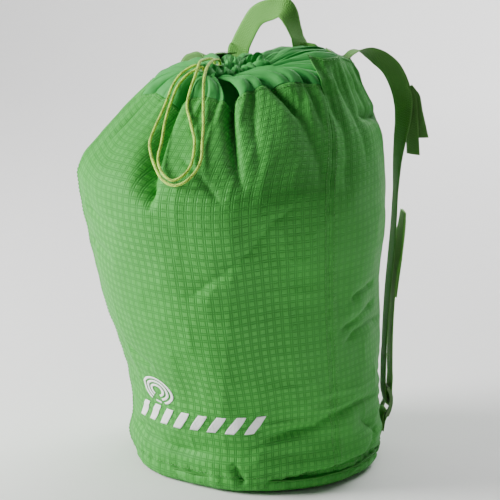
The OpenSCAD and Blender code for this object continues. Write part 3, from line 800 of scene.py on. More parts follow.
def collar_grid(n=720, m=70):
    a = np.linspace(-142, 218, n)
    A = a[:, None] * np.ones((1, m))
    is_back = (a > SEAM_R)
    zf = top_edge(a, False)
    zb = 425.0 - sag(a)
    mixk = smoothstep(a, SEAM_R - 1, SEAM_R + 9) * (1 - smoothstep(a, SEAM_L - 14, SEAM_L - 2))
    zs = zf * (1 - mixk) + zb * mixk
    zs = np.where(a > SEAM_L - 14, 425 + (411 - 425) * smoothstep(a, SEAM_L - 14, SEAM_L), zs)
    inw = np.stack([-np.cos(np.radians(a)), -np.sin(np.radians(a)), 0 * a], -1)
    Pf, _ = front.at(a, zf, -0.6)
    Pb, _ = back.at(np.where(a < SEAM_R, SEAM_R, a), zb, -0.6)
    Pl, _ = front.at(np.full(n, SEAM_L - 360.0), np.full(n, 411.0), -0.6)
    P0 = Pf * (1 - mixk[:, None]) + (Pb + inw * 2.6) * mixk[:, None]
    kl = smoothstep(a, SEAM_L - 14, SEAM_L - 1)[:, None]
    P0 = np.where(a[:, None] > SEAM_L - 14, (Pb + inw * 2.6) * (1 - kl) + Pl * kl, P0)
    s = ((75 - a) % 360) / 360
    lx, ly = loop_pt(s, 21.5)
    L = np.stack([lx, ly, np.full(n, 436.5)], -1)
    ln = np.linalg.norm(L - P0, axis=1)
    up = inw * 0.62 + np.array([0, 0, 0.78])
    C1 = P0 + up * (0.34 * ln)[:, None]
    out = P0 - L
    out[:, 2] = 0
    out /= np.linalg.norm(out, axis=1)[:, None]
    C2 = L + out * (0.3 * ln)[:, None] + np.array([0, 0, 1.0]) * (0.04 * ln)[:, None]
    t = np.linspace(0, 1, m)[None, :, None]
    P = (P0[:, None] * (1 - t) ** 3 + 3 * C1[:, None] * t * (1 - t) ** 2 + 3 * C2[:, None] * t * t * (1 - t)
         + L[:, None] * t ** 3)
    T = t[..., 0] * np.ones((n, 1))
    N = normals(P)
    if N[n // 2, m // 2][2] < 0:
        N = -N
    size = np.clip(ln / 70, 0.35, 1.25)[:, None]
    env = np.sin(np.pi * np.clip(T * 0.92 + 0.03, 0, 1)) ** 0.6
    h = pillows(A) * env * (0.4 + 0.6 * (1 - T)) * size
    h2 = np.abs(np.sin(np.radians(A) * 17 + 2.2 * vnoise(P, 1 / 30.0))) ** 0.7 - 0.5
    h = h + 2.6 * h2 * smoothstep(T, 0.3, 0.95) * np.clip(ln / 45, 0.3, 1)[:, None]
    rad = np.stack([A * K / 7.5, T * 2.2, 0 * A], -1)
    h = h + 1.5 * vnoise(rad, 1.0, 3.3) * smoothstep(T, 0.05, 0.5) + 1.8 * vnoise(P, 1 / 26.0, 7.7) * env
    h = h + 0.45 * vnoise(P, 1 / 7.0, 1.7) * env
    for v, dep, w in ((-104, 10, 2.2), (-75, 17, 2.0), (-57, 11, 2.0), (-128, 3, 2), (-31, 4, 2), (-6, 4, 2), (24, 5, 2.5), (55, 5, 2.5)):
        h = h - dep * np.exp(-(((A - v) / w) ** 2)) * smoothstep(1 - T, 0.0, 0.35) * size
    # the cloth stands up in a puff behind the mouth
    puff = np.exp(-(((A - 62) / 46.0) ** 2)) * 9 + np.exp(-(((A - 200) / 20.0) ** 2)) * 2
    h = h + puff * np.sin(np.pi * np.clip(T, 0, 1)) ** 0.8
    Pd = P + N * h[..., None]
    arc = np.concatenate([np.zeros((n, 1)), np.cumsum(np.linalg.norm(np.diff(P, axis=1), axis=-1), axis=1)], 1)
    UV = np.stack([A * K * MM, arc * MM], -1)
    return a, s, Pd, UV, h


ca, cs, CP, CUV, CH = collar_grid()
EXITS = [(-28.5, -58.0), (-21.2, -104.6)]


def hem_grid():
    """The gathered hem: up from the collar, over the cord and down into the mouth."""
    prof = np.array([(21.5, 436.5), (22.2, 438.6), (21.6, 440.6), (19.6, 442.6), (17, 443.4), (14.2, 442.8), (12, 440.6),
                     (10.6, 437), (9.6, 431), (8.8, 424), (8.2, 414), (7.6, 402)])
    prof = catmull(prof, 3)
    n = len(cs)
    rows = []
    rose = np.exp(-((np.minimum(cs, 1 - cs)) / 0.13) ** 2)
    # arc length along the loop sets the ruffles
    ph = cs * 2 * math.pi
    wav = np.sin(ph * 17 + 1.3 * np.sin(ph * 5)) + 0.5 * np.sin(ph * 31 + 0.7)
    wav2 = np.sin(ph * 17 + 1.9 + 1.3 * np.sin(ph * 5)) + 0.4 * np.sin(ph * 29 + 2)
    for k, (r, z) in enumerate(prof):
        e = k / (len(prof) - 1)
        x, y = loop_pt(cs, r)
        amp = np.sin(np.pi * min(1, e * 1.6)) ** 0.8 * 0.9 if e < 0.625 else 0.4
        near = np.ones(n)
        for ex in EXITS:
            near *= 1 - 0.93 * np.exp(-(((x - ex[0]) ** 2 + (y - ex[1]) ** 2) / 9.0 ** 2))
        rad = np.stack([x - MC[0] - (y - MC[1]) * 0.2, (y - MC[1]) * 0.35], -1)
        rad /= np.maximum(np.linalg.norm(rad, axis=1), 1e-6)[:, None]
        dr = wav * amp * (2.3 + 3.0 * rose) * near
        dz = (wav2 * amp * (2.4 + 3.0 * rose) + (1.5 + 4.0 * rose) * amp) * near - 1.0 * amp * (1 - near)
        rows.append(np.stack([x + rad[:, 0] * dr, y + rad[:, 1] * dr, z + dz], -1))
    R = np.stack(rows, 1)
    base = CP[:, -1]
    k = np.linspace(0, 1, R.shape[1])[None, :, None]
    R = R + (base - R[:, 0])[:, None] * np.maximum(0, 1 - k * 5)
    return R


HP = hem_grid()
full = np.concatenate([CP, HP[:, 1:]], 1)
extra = np.linalg.norm(np.diff(full[:, CP.shape[1] - 1:], axis=1), axis=-1)
vv = CUV[:, -1:, 1] + np.cumsum(extra, 1) * MM
FUV = np.concatenate([CUV, np.stack([np.repeat(CUV[:, -1:, 0], vv.shape[1], 1), vv], -1)], 1)
nC = CP.shape[1]


def grid_flip(P, centre):
    f = grid_faces(*P.shape[:2])
    f = f[len(f) // 2]
    q = P.reshape(-1, 3)[f]
    return (np.cross(q[1] - q[0], q[2] - q[1]) @ (q.mean(0) - np.array(centre))) < 0


fl = grid_flip(CP, (-5, -30, 380))
ob = grid_piece("collar_fabric", full[:, :nC], FUV[:, :nC], M_COLLAR, 0.7, fl)
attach(ob, "bag")
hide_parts("collar")
ob = grid_piece("hem_gathered", full[:, nC - 1:], FUV[:, nC - 1:], M_COLLAR, 0.7, fl)
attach(ob, "bag")
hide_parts("hem_channel")


# ---------------------------------------------------------------- base
def base_grid():
    prof = catmull(np.array([(0.5, 1.3), (50, 1.1), (100, 0.8), (124, 0.9), (131, 1.8), (135.6, 4.2), (138.2, 8.2),
                             (138.8, 12.0), (137.4, 15.4), (133.6, 17.8)]), 6)
    n = 520
    a = np.linspace(0, 360, n + 1)[:-1]
    w = np.radians(a)
    rows = []
    for r, z in prof:
        e = smoothstep(r, 100, 134)
        rip = e * (0.9 * np.sin(a * K / 4.1 + 2 * np.sin(w * 3)) * smoothstep(z, 3, 15) + 0.7 * np.sin(w * 11 + 1) * min(z / 6, 1))
        q = np.stack([np.cos(w) * 2.2 * r / 139, np.sin(w) * 2.2 * r / 139, 0 * w + z / 20], -1)
        rip = rip + e * 1.6 * vnoise(q * 3, 1.0, 3.0) * min(z / 5, 1)
        lift = 0.5 * (1 + vnoise(q * 2, 1.0, 8.0)) * (1 - e)
        rr = r + rip
        rows.append(np.stack([rr * np.cos(w), rr * np.sin(w), np.maximum(z + lift, 0.35) + 0 * w], -1))
    P = np.stack(rows, 1)
    return P


BP = base_grid()
BUV = BP[..., :2] * MM
V = BP.reshape(-1, 3) * MM
fl = grid_flip(BP, (0, 0, 30))
ob = mesh_obj("base_fabric", V, grid_faces(BP.shape[0], BP.shape[1], True, fl), BUV.reshape(-1, 2), M_BODY)
import bmesh

bm = bmesh.new()
bm.from_mesh(ob.data)
bm.verts.ensure_lookup_table()
bmesh.ops.contextual_create(bm, geom=[bm.verts[i * BP.shape[1]] for i in range(BP.shape[0])])
bm.to_mesh(ob.data)
bm.free()
solidify(ob, 0.0008, -1.0)
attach(ob, "bag")
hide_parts("base_panel")


# ---------------------------------------------------------------- stitches
def stitches(name, pts, nrm, mat=None, step=3.4, length=2.5, rad=0.34):
    """Row of thread stitches along a line of points that lies on a surface."""
    pts, nrm = np.asarray(pts, float), np.asarray(nrm, float)
    s = np.concatenate([[0], np.cumsum(np.linalg.norm(np.diff(pts, axis=0), axis=1))])
    V, F = [], []
    for c in np.arange(step / 2, s[-1] - step / 2, step):
        ring = []
        for k, (e, h) in enumerate(((-0.5, -0.25), (-0.3, 0.75), (0, 1.0), (0.3, 0.75), (0.5, -0.25))):
            x = c + e * length
            p = np.array([np.interp(x, s, pts[:, i]) for i in range(3)])
            n = np.array([np.interp(x, s, nrm[:, i]) for i in range(3)])
            n /= np.linalg.norm(n)
            q = np.array([np.interp(x + 0.3, s, pts[:, i]) for i in range(3)]) - np.array(
                [np.interp(x - 0.3, s, pts[:, i]) for i in range(3)])
            q /= max(np.linalg.norm(q), 1e-9)
            b = np.cross(q, n)
            rr = rad * (0.55 if k in (0, 4) else 1.0)
            o = p + n * rad * (h * 0.7)
            base = len(V)
            for j in range(6):
                w = j * math.pi / 3
                V.append(o + rr * (b * math.cos(w) + n * math.sin(w)))
            ring.append(base)
        for r0, r1 in zip(ring[:-1], ring[1:]):
            for j in range(6):
                F.append((r0 + j, r0 + (j + 1) % 6, r1 + (j + 1) % 6, r1 + j))
        F.append(tuple(ring[0] + j for j in range(5, -1, -1)))
        F.append(tuple(ring[-1] + j for j in range(6)))
    ob = mesh_obj(name, np.array(V) * MM, [tuple(f) for f in F], None, mat or M_THREAD)
    return ob


def join(name, obs):
    """One object made of several, so that a row of stitches stays one piece."""
    bm = bmesh.new()
    for o in obs:
        bm.from_mesh(o.data)
    me = bpy.data.meshes.new(name)
    bm.to_mesh(me)
    bm.free()
    me.materials.append(obs[0].data.materials[0])
    for o in obs:
        old = o.data
        bpy.data.objects.remove(o)
        bpy.data.meshes.remove(old)
    return link(bpy.data.objects.new(name, me))


rows = []
for cl, a0, a1 in ((front, SEAM_L - 360 + 1, SEAM_R - 1), (back, SEAM_R + 1, SEAM_L - 1)):
    for dz in (2.6,):
        a = np.linspace(a0, a1, 400)
        p, n = cl.at(a, top_edge(a, cl.back) - dz, 0.1)
        rows.append(stitches("tmp", p, n))
    z = np.linspace(20, 405, 300)
    for edge in (a0 + 0.9, a1 - 0.9):
        p, n = cl.at(np.full(300, edge), z, 0.1)
        rows.append(stitches("tmp", p, n, step=4.2, length=3.0))
    a = np.linspace(a0, a1, 300)
    p, n = cl.at(a, np.full(300, 20.5), 0.1)
    rows.append(stitches("tmp", p, n, step=4.2, length=3.0))
ob = join("seam_stitches", rows)
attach(ob, "bag")

# piping over the base seam
n = 300
w = np.linspace(0, 2 * math.pi, n + 1)[:-1]
sect = [(1.0 * math.cos(k * math.pi / 5), 1.0 * math.sin(k * math.pi / 5)) for k in range(10)]
V, F, UV = [], [], []
for i, x in enumerate(w):
    r0 = 138.6 + 0.5 * math.sin(7 * x) + 0.35 * math.sin(31 * x + 1)
    z0 = 16.2 + 0.5 * math.sin(5 * x + 2)
    for k, (dr, dz) in enumerate(sect):
        rr = r0 + dr * 0.9 + 0.12 * math.sin(170 * x)
        V.append((rr * math.cos(x), rr * math.sin(x), z0 + dz * 1.15))
        UV.append((i * 2 * math.pi * 139 / n * MM, k * 0.0009))
for i in range(n):
    for k in range(10):
        i2, k2 = (i + 1) % n, (k + 1) % 10
        F.append((i * 10 + k, i2 * 10 + k, i2 * 10 + k2, i * 10 + k2))
ob = mesh_obj("base_piping", np.array(V) * MM, F, UV, M_TAPE)
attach(ob, "bag")
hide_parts("base_binding")


# ---------------------------------------------------------------- webbing
def ribbon(name, st, width, thick=1.5, mat=None, m=8, crown=0.35, wobble=0.0, cols=10):
    """Closed band of webbing. st is rows of (centre, width direction[, width])."""
    C = catmull([s[0] for s in st], m)
    W = np.array([s[1] for s in st], float)
    k = np.linspace(0, len(st) - 1, len(C))
    Wd = np.stack([np.interp(k, range(len(st)), W[:, i]) for i in range(3)], 1)
    ww = np.interp(k, range(len(st)), [s[2] if len(s) > 2 else width for s in st])
    T = np.gradient(C, axis=0)
    T /= np.linalg.norm(T, axis=1)[:, None]
    Wd = Wd - T * np.sum(Wd * T, 1)[:, None]
    Wd /= np.linalg.norm(Wd, axis=1)[:, None]
    N = np.cross(T, Wd)
    s = np.concatenate([[0], np.cumsum(np.linalg.norm(np.diff(C, axis=0), axis=1))])
    h = thick / 2
    x = np.linspace(-1, 1, cols)
    sect = [(xx, 1) for xx in x] + [(1.0, 0)] + [(xx, -1) for xx in x[::-1]] + [(-1.0, 0)]
    V, UV = [], []
    for i in range(len(C)):
        bend = crown * (1 + 0.5 * math.sin(s[i] / 23.0))
        wob = wobble * math.sin(s[i] / 31.0 + 1)
        for xx, side in sect:
            e = h * (0.62 if abs(xx) > 0.999 and side else 1.0)
            q = xx * (ww[i] / 2) * (1.0 if side == 0 else (0.975 if abs(xx) > 0.999 else 0.95 * 1.0))
            V.append(C[i] + Wd[i] * q + N[i] * (side * e + bend * (1 - xx * xx) + wob * xx))
            UV.append((q * MM, s[i] * MM))
    n, c = len(C), len(sect)
    F = []
    for i in range(n - 1):
        for k in range(c):
            F.append((i * c + k, (i + 1) * c + k, (i + 1) * c + (k + 1) % c, i * c + (k + 1) % c))
    F.append(tuple(range(c)))
    F.append(tuple((n - 1) * c + k for k in range(c - 1, -1, -1)))
    V = np.array(V) * MM
    ob = mesh_obj(name, V, F, UV, mat or M_WEB)
    bm = bmesh.new()
    bm.from_mesh(ob.data)
    bmesh.ops.recalc_face_normals(bm, faces=bm.faces)
    bm.to_mesh(ob.data)
    bm.free()
    return ob, C, Wd, N, ww


def box_stitch(name, C, Wd, N, width, i0, i1, side, thick=1.5, mat=None):
    """Rectangle with a cross sewn through a webbing end."""
    h = width / 2 - 3

    def run(p, q):
        k = np.linspace(0, 1, 24)
        ii = p[0] + (q[0] - p[0]) * k
        xx = p[1] + (q[1] - p[1]) * k
        c = np.stack([np.interp(ii, range(len(C)), C[:, j]) for j in range(3)], 1)
        w_ = np.stack([np.interp(ii, range(len(C)), Wd[:, j]) for j in range(3)], 1)
        n_ = np.stack([np.interp(ii, range(len(C)), N[:, j]) for j in range(3)], 1) * side
        return c + w_ * xx[:, None] + n_ * (thick / 2 + 0.38), n_

    obs = []
    for p, q in (((i0, -h), (i1, -h)), ((i0, h), (i1, h)), ((i0, -h), (i0, h)), ((i1, -h), (i1, h)),
                 ((i0, -h), (i1, h)), ((i0, h), (i1, -h))):
        pts, nn = run(p, q)
        obs.append(stitches("tmp", pts, nn, mat or M_THREAD, step=2.1, length=1.7, rad=0.3))
    return join(name, obs)


def collar_top_z(x, y):
    q = full[:, 4:nC].reshape(-1, 3)
    d = (q[:, 0] - x) ** 2 + (q[:, 1] - y) ** 2
    k = np.argsort(d)[:6]
    return q[k, 2].max()


SLACK_L = 9.0


def at(a, u, v, z):
    w = math.radians(a)
    return np.array([u * math.cos(w) + v * math.sin(w), -8 + u * math.sin(w) - v * math.cos(w), z])


def slack(a, z):
    return SLACK_L * math.sin(math.radians(180 * (z - 80) / 360)) ** 0.8 if a > 90 and 80 < z < 440 else 0.0


def sts(a, u, z, tilt=0.0, w=None):
    r, t = math.radians(a), math.radians(tilt)
    d = np.array([math.sin(r) * math.cos(t) + math.cos(r) * math.sin(t) * 0.75,
                  -math.cos(r) * math.cos(t) + math.sin(r) * math.sin(t) * 0.75, math.sin(t) * 0.66])
    out = (at(a, u + slack(a, z), 0, z), d)
    return out if w is None else out + (w,)


def on_collar(a, u, z, lift=1.2):
    p = at(a, u, 0, z)
    return max(z, collar_top_z(p[0], p[1]) + lift)


for side, a, s in (("right", 38, 1), ("left", 152, -1)):
    # main run: sewn end on the raised corner, bend, long run down
    # the left strap slumps a little lower than the right one
    dz = 0 if s > 0 else 20
    st = [sts(a, 70, on_collar(a, 70, 439 - dz), 0, 23), sts(a, 80, on_collar(a, 80, 441.5 - dz), 0, 23),
          sts(a, 89, on_collar(a, 89, 447.5 - dz), 0, 24),
          sts(a, 96, 453 - dz, 0), sts(a, 104, 456 - dz, s * 12), sts(a, 115, 454 - dz, s * 34),
          sts(a, 128, 447 - dz * 0.9, s * 48), sts(a, 141, 436 - dz * 0.6, s * 50), sts(a, 151, 418 - dz * 0.25, s * 50),
          sts(a, 156, 399, s * 46), sts(a, 156.5, 381, s * 38),
          sts(a, 154.5, 360, s * 27), sts(a, 152.5, 334, s * 12), sts(a, 152, 300, 0), sts(a, 151.5, 260, 0),
          sts(a, 150, 222, 0), sts(a, 148, 182, 0), sts(a, 147, 140, 0), sts(a, 147.1, 112, 0)]
    ob, C, Wd, N, ww = ribbon(f"strap_webbing_{side}", st, 25, 1.5, M_WEB, 8, 0.4, 0.3)
    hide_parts(f"shoulder_strap_{side}", f"upper_web_end_{side}")
    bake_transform(ob)
    sgn = 1 if N[6][2] > 0 else -1
    bs = box_stitch(f"strap_end_stitches_{side}", C, Wd, N, 22, 2, 15, sgn)
    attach(bs, "bag")
    # lower run to the buckle
    st = [sts(a, 147.1, 116), sts(a, 147, 104), sts(a, 147.2, 92), sts(a, 147.5, 82), sts(a, 147.6, 74),
          sts(a, 148.4, 66), sts(a, 149.8, 61), sts(a, 150.6, 57.4)]
    ob, *_ = ribbon(f"strap_lower_{side}", st, 25, 1.5, M_WEB, 6, 0.2)
    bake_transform(ob)
    # turn round the middle bar and free tail
    st = [sts(a, 150.5, 58.6), sts(a, 150.6, 57), sts(a, 151.5, 54.9), sts(a, 153.6, 53.9), sts(a, 155.7, 54.9),
          sts(a, 156.6, 57), sts(a, 156.3, 61), sts(a, 155.4, 68), sts(a, 155.2, 76), sts(a, 155.4, 86),
          sts(a, 154.5, 100), sts(a, 153.5, 138), sts(a, 153.8, 175), sts(a, 154.6, 205, s * 6),
          sts(a, 157.0, 228, s * 14), sts(a, 158.6, 246, s * 10), sts(a, 160.4, 262, 0), sts(a, 161.4, 277, -s * 6)]
    ob, C, Wd, N, ww = ribbon(f"strap_tail_{side}", st, 24.5, 1.5, M_TAIL_PAINTED_LIGHT, 6, 0.3, 0.2)
    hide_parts(f"adjuster_tail_{side}")
    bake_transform(ob)
    # folded and sewn tip of the tail
    st2 = [(C[-30] + N[-30] * 1.75, Wd[-30]), (C[-20] + N[-20] * 1.7, Wd[-20]), (C[-10] + N[-10] * 1.7, Wd[-10]),
           (C[-1] + N[-1] * 1.5, Wd[-1])]
    ob, C2, W2, N2, _ = ribbon(f"tail_fold_{side}", st2, 24, 1.4, M_TAIL_PAINTED_LIGHT, 6, 0.2)
    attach(ob, f"tail_{side}")
    bs = box_stitch(f"tail_stitches_{side}", C2, W2, N2, 23, 2, len(C2) - 3, 1 if (N2[4] @ N[-20]) > 0 else -1, 1.4)
    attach(bs, f"tail_{side}")
    # two loose ends under the bend
    for nm, pts, w_ in (("long", [(157.6, 413, 50), (160.6, 407, 46), (163.5, 401, 44), (166, 384, 40), (168, 364, 37), (170.2, 341, 36)], 20),
                        ("short", [(158.2, 414, 50), (163, 409, 46), (167.5, 403, 44), (171, 388, 42), (175, 374, 40), (179, 359.5, 38)], 20)):
        st = [sts(a, u, z, s * t) for u, z, t in pts]
        ob, C, Wd, N, ww = ribbon(f"strap_tie_{nm}_{side}_webbing", st, w_, 1.5, M_WEB, 6, 0.5, 0.5)
        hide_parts(f"strap_tie_{nm}_{side}")
        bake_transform(ob)
    # lower tab, looped round the buckle's bottom bar
    st = [sts(a, 144.4, 17, 0, 20), sts(a, 146.2, 24, 0, 20), sts(a, 147.1, 31), sts(a, 147.3, 37), sts(a, 147.4, 42), sts(a, 148.3, 45.4),
          sts(a, 150.2, 46.7), sts(a, 152.2, 45.6), sts(a, 152.9, 43), sts(a, 151.4, 39), sts(a, 149.7, 34),
          sts(a, 148.9, 28), sts(a, 148.2, 22)]
    ob, C, Wd, N, ww = ribbon(f"lower_tab_{side}", st, 20, 1.4, M_WEB_LIT, 6, 0.1)
    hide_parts(f"lower_strap_tab_{side}")
    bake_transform(ob)
    # three-cornered patch over the tab's root
    n1, n2 = 34, 16
    x = np.linspace(-1, 1, n1)[:, None] * np.ones((1, n2))
    y = np.linspace(0, 1, n2)[None, :] * np.ones((n1, 1))
    half = 31 - 20 * y ** 0.9
    zz = 14.5 + 22 * y
    P, NN = back.at(a + x * half / 2.43, zz, 1.0)
    bulge = 1.5 * np.exp(-(x * half / 12) ** 2) * (0.3 + 0.7 * y)
    P = P + NN * bulge[..., None]
    UV = np.stack([x * half, zz], -1) * MM
    flp = grid_flip(P, (0, 0, 30))
    ob = grid_piece(f"anchor_patch_{side}", P, UV, M_BASE, 1.2, flp, 0.0)
    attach(ob, "bag")
    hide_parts(f"lower_anchor_patch_{side}")
    ed = []
    for line in (P[2, :, :], P[-3, :, :], P[:, -2, :]):
        nn = back.at(np.full(len(line), a), np.full(len(line), 25.0))[1]
        ed.append(stitches("tmp", line + nn * 0.75, nn, step=2.8, length=2.1))
    ob = join(f"patch_stitches_{side}", ed)
    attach(ob, "bag")
    # buckle
    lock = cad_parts[f"ladder_lock_{side}"]
    lock.data.materials.clear()
    lock.data.materials.append(M_PLASTIC)
    for p in lock.data.polygons:
        p.use_smooth = False
    md = lock.modifiers.new("edge", "BEVEL")
    md.width, md.segments, md.limit_method, md.angle_limit = 0.0005, 3, "ANGLE", math.radians(40)

# haul handle
hy = 54
feet = []
for x0, sx in ((-69.5, 1), (17, -1)):
    row = []
    for y in (84, 76, 68, 61):
        row.append((np.array([x0, y, collar_top_z(x0, y) + 1.3]), np.array([sx, 0, 0])))
    row.append((np.array([x0 + (2 if sx > 0 else 0), 56.4, max(collar_top_z(x0, 57) + 1.8, 439.4)]), np.array([sx, 0, 0])))
    feet.append(row)
loop = [
    ((-63.6, hy, 446), (1, 0, 0)), ((-61, hy, 453), (0.95, -0.1, -0.1)), ((-55.5, hy, 464), (0.92, -0.15, -0.3)),
    ((-50, hy, 474), (0.86, -0.2, -0.55)), ((-44, hy, 482.5), (0.7, -0.2, -0.8)), ((-36, hy, 488), (0.25, -0.25, -1)),
    ((-24, hy, 492), (-0.1, -0.35, -1)), ((-12, hy, 495), (-0.3, -0.5, -0.8)), ((-4, hy, 489), (-0.4, -0.75, -0.4)),
    ((3, hy, 476), (-0.2, -0.95, -0.1)), ((8.5, hy, 464), (-0.1, -1, 0)), ((13, hy, 453.5), (-0.35, -0.93, 0)),
    ((16.6, hy, 446.5), (-0.85, -0.5, 0))]
st = feet[0] + [(np.array(p, float), np.array(w_, float)) for p, w_ in loop] + feet[1][::-1]
ob, C, Wd, N, ww = ribbon("haul_handle_webbing", st, 25, 1.6, M_WEB_LIT, 8, 0.5)
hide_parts("haul_handle", "handle_web_ends")
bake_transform(ob)
ends = []
for i0, i1 in ((3, 24), (len(C) - 25, len(C) - 4)):
    ends.append(box_stitch("tmp2", C, Wd, N, 24, i0, i1, 1 if N[(i0 + i1) // 2][2] > 0 else -1, 1.6))
ob = join("handle_end_stitches", ends)
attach(ob, "bag")

# ---------------------------------------------------------------- print: a laid-rope band and a coil
def decal(name, S, Z):
    P, NN = front.at(S / K, Z, 0.5)
    flp = grid_flip(P, (0, -40, 90))
    ob = grid_piece(name, P, np.stack([S, Z], -1) * MM, M_PRINT, 0.3, flp, 0.0)
    return ob


marks = []
s0, s1, zc0, hh = -124 * K, -57 * K, 74.0, 10.5
nst = 8
pitch = (s1 - s0) / nst
for i in range(nst):
    x = np.linspace(0, 1, 12)[:, None] * np.ones((1, 12))
    y = np.linspace(-1, 1, 12)[None, :] * np.ones((12, 1))
    cx = s0 + (i + 0.5) * pitch
    curve = 1.5 * np.cos(y * math.pi / 2)
    S = cx + (x - 0.5) * pitch * 0.66 * (0.72 + 0.28 * np.cos(y * math.pi / 2)) + y * 8.0
    Z = zc0 + 0.05 * (S - s0) + y * hh + (x - 0.5) * curve * 2
    marks.append(decal("tmp", S, Z))
for r0, r1 in ((15.5, 18.2), (10.6, 13.3), (5.7, 8.4)):
    th = np.linspace(math.radians(-62), math.radians(242), 90)[:, None] * np.ones((1, 4))
    rr = np.linspace(r0, r1, 4)[None, :] * np.ones((90, 1))
    marks.append(decal("tmp", -107 * K + rr * np.cos(th) * 1.45, 105 + rr * np.sin(th) * 0.8))
x = np.linspace(-1, 1, 16)[:, None] * np.ones((1, 6))
y = np.linspace(-1, 1, 6)[None, :] * np.ones((16, 1))
marks.append(decal("tmp", -107 * K + x * 5, 92.0 + y * 1.2 + 0 * x))
ob = join("front_print", marks)
me = ob.data
if not me.uv_layers:
    me.uv_layers.new(name="UVMap")
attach(ob, "bag")

# ---------------------------------------------------------------- cut sizes of the cloth
SHEETS = {
    # piece: width and length it was cut to in metres, how it is held, what holds it
    "body_fabric_front": (0.345, 0.435, "gathered", ["body_fabric_back", "base_fabric"]),
    "body_fabric_back": (0.690, 0.440, "gathered", ["body_fabric_front", "base_fabric"]),
    "collar_fabric": (0.740, 0.095, "gathered", ["body_fabric_front", "body_fabric_back"]),
    "hem_gathered": (0.300, 0.060, "gathered", ["collar_fabric", "hem_cord"]),
}
for nm, (w_, l_, held, on) in SHEETS.items():
    o = bpy.data.objects[nm]
    print("AREA", nm, round(sum(p.area for p in o.data.polygons) / 2, 4), round(w_ * l_, 4))
o = bpy.data.objects["base_fabric"]
print("AREA base_fabric", round(sum(p.area for p in o.data.polygons) / 2, 4))
for side in ("left", "right"):
    o = bpy.data.objects[f"anchor_patch_{side}"]
    print("AREA", o.name, round(sum(p.area for p in o.data.polygons) / 2, 5))

# ---------------------------------------------------------------- carried-over small nodes
# tapes over the raw seam edges, inside the bag
for nm, sa in (("right", SEAM_R), ("left", SEAM_L)):
    w_ = np.linspace(-3.4, 3.4, 13)
    z = np.linspace(21, 404, 150)
    W_, Z_ = w_[:, None] + 0 * z[None, :], z[None, :] + 0 * w_[:, None]
    fa = SEAM_R + np.minimum(W_, 0) if nm == "right" else SEAM_L - 360 + np.maximum(W_, 0)
    ba = SEAM_R + np.maximum(W_, 0) if nm == "right" else SEAM_L + np.minimum(W_, 0)
    Pf, Nf = front.at(fa, Z_, -2.6)
    Pb, Nb = back.at(ba, Z_, -2.6)
    use = (W_ <= 0) if nm == "right" else (W_ >= 0)
    P = np.where(use[..., None], Pf, Pb)
    P = P - np.where(use[..., None], Nf, Nb) * (0.25 * np.sin(Z_ / 5.0) + 0.3)[..., None]
    fl = grid_flip(P, (-6, -30, 200))
    ob = grid_piece(f"seam_tape_{nm}", P, np.stack([W_ * K, Z_], -1) * MM, M_TAPE, 0.5, fl, 0.0)
    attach(ob, "bag")
    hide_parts(f"side_seam_tape_{nm}")


def give_uv(o, fn):
    me = o.data
    lay = me.uv_layers.get("UVMap") or me.uv_layers.new(name="UVMap")
    co = np.zeros(len(me.vertices) * 3)
    me.vertices.foreach_get("co", co)
    M = np.array(o.matrix_world)
    co = co.reshape(-1, 3) @ M[:3, :3].T + M[:3, 3]
    loops = np.zeros(len(me.loops), np.int64)
    me.loops.foreach_get("vertex_index", loops)
    lay.data.foreach_set("uv", np.asarray(fn(co), np.float32)[loops].ravel())


for name, mat in (("cord_patch_front", M_THREAD), ("cord_patch_side", M_THREAD), ("rope_end_loop", M_WEB),
                  ("hem_cord", M_CORD)):
    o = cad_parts[name]
    o.data.materials.clear()
    o.data.materials.append(mat)
    if name == "rope_end_loop":
        give_uv(o, lambda c: np.stack([c[:, 0], np.arctan2(c[:, 2] - 0.04, c[:, 1] - 0.1304) * 0.015], -1))
    if name == "hem_cord":
        give_uv(o, lambda c: np.stack([c[:, 2] / 0.009, np.arctan2(c[:, 1] + 0.062, c[:, 0] + 0.011) * 0.038], -1))


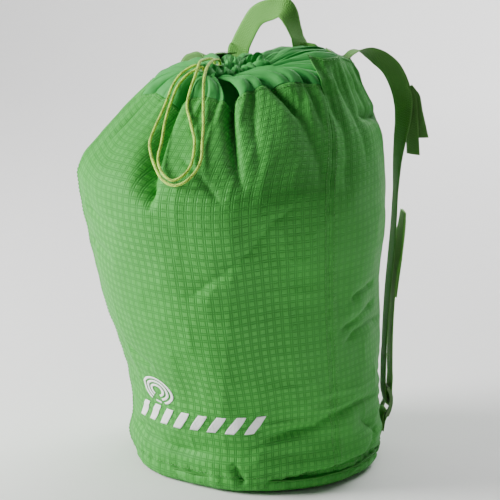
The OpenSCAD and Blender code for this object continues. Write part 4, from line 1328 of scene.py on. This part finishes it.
# ---------------------------------------------------------------- studio
def studio():
    me = bpy.data.meshes.new("floor")
    # floor that curves up into a back wall
    V, F = [], []
    prof = [(-6.0, 0.0), (2.6, 0.0)]
    for k in range(1, 13):
        w = k / 12 * math.pi / 2
        prof.append((2.6 + 1.2 * math.sin(w), 1.2 - 1.2 * math.cos(w)))
    prof.append((3.8, 6.0))
    az = math.radians(28)
    fx, fy = -math.sin(az), math.cos(az)
    for p, z in prof:
        for s in (-6, 6):
            V.append((fx * p + fy * s, fy * p - fx * s, z))
    for i in range(len(prof) - 1):
        F.append((2 * i, 2 * i + 1, 2 * i + 3, 2 * i + 2))
    me.from_pydata(V, [], F)
    me.polygons.foreach_set("use_smooth", [True] * len(F))
    ob = link(bpy.data.objects.new("floor", me))
    m = Nodes("floor_paper")
    n = m.noise(m.obj(), 40, 4)
    me.materials.append(m.set(Base_Color=m.mix(n, (0.91, 0.91, 0.91), (0.93, 0.93, 0.93)), Roughness=0.8,
                              Normal=m.bump(n, 0.05, 0.001)))
    w = bpy.data.worlds.new("studio")
    w.use_nodes = True
    bg = w.node_tree.nodes["Background"]
    bg.inputs[0].default_value = (1, 1, 1, 1)
    bg.inputs[1].default_value = WORLD
    bpy.context.scene.world = w

    def area(name, place, target, size, power, color=(1, 1, 1)):
        d = bpy.data.lights.new(name, "AREA")
        d.shape, d.size, d.size_y = "RECTANGLE", size[0], size[1]
        d.energy, d.color = power, color
        o = link(bpy.data.objects.new(name, d))
        o.location = place
        o.rotation_mode = "QUATERNION"
        o.rotation_quaternion = (Vector(target) - Vector(place)).to_track_quat("-Z", "Y")

    for l in LIGHTS:
        area(*l)


WORLD = 0.095
LIGHTS = [
    ("key", (-1.85, -1.35, 1.15), (0, -0.03, 0.25), (1.0, 1.2), 145, (1.0, 0.99, 0.97)),
    ("top", (-0.2, 0.3, 2.3), (0, 0, 0.3), (1.4, 1.4), 12, (1, 1, 1)),
    ("fill", (1.9, -2.2, 0.9), (0, 0, 0.2), (1.6, 1.6), 1, (1, 1, 1)),
    ("back", (0.2, 3.2, 2.6), (0, 3.0, 0.6), (3.0, 1.6), 170, (1, 1, 1)),
]
studio()
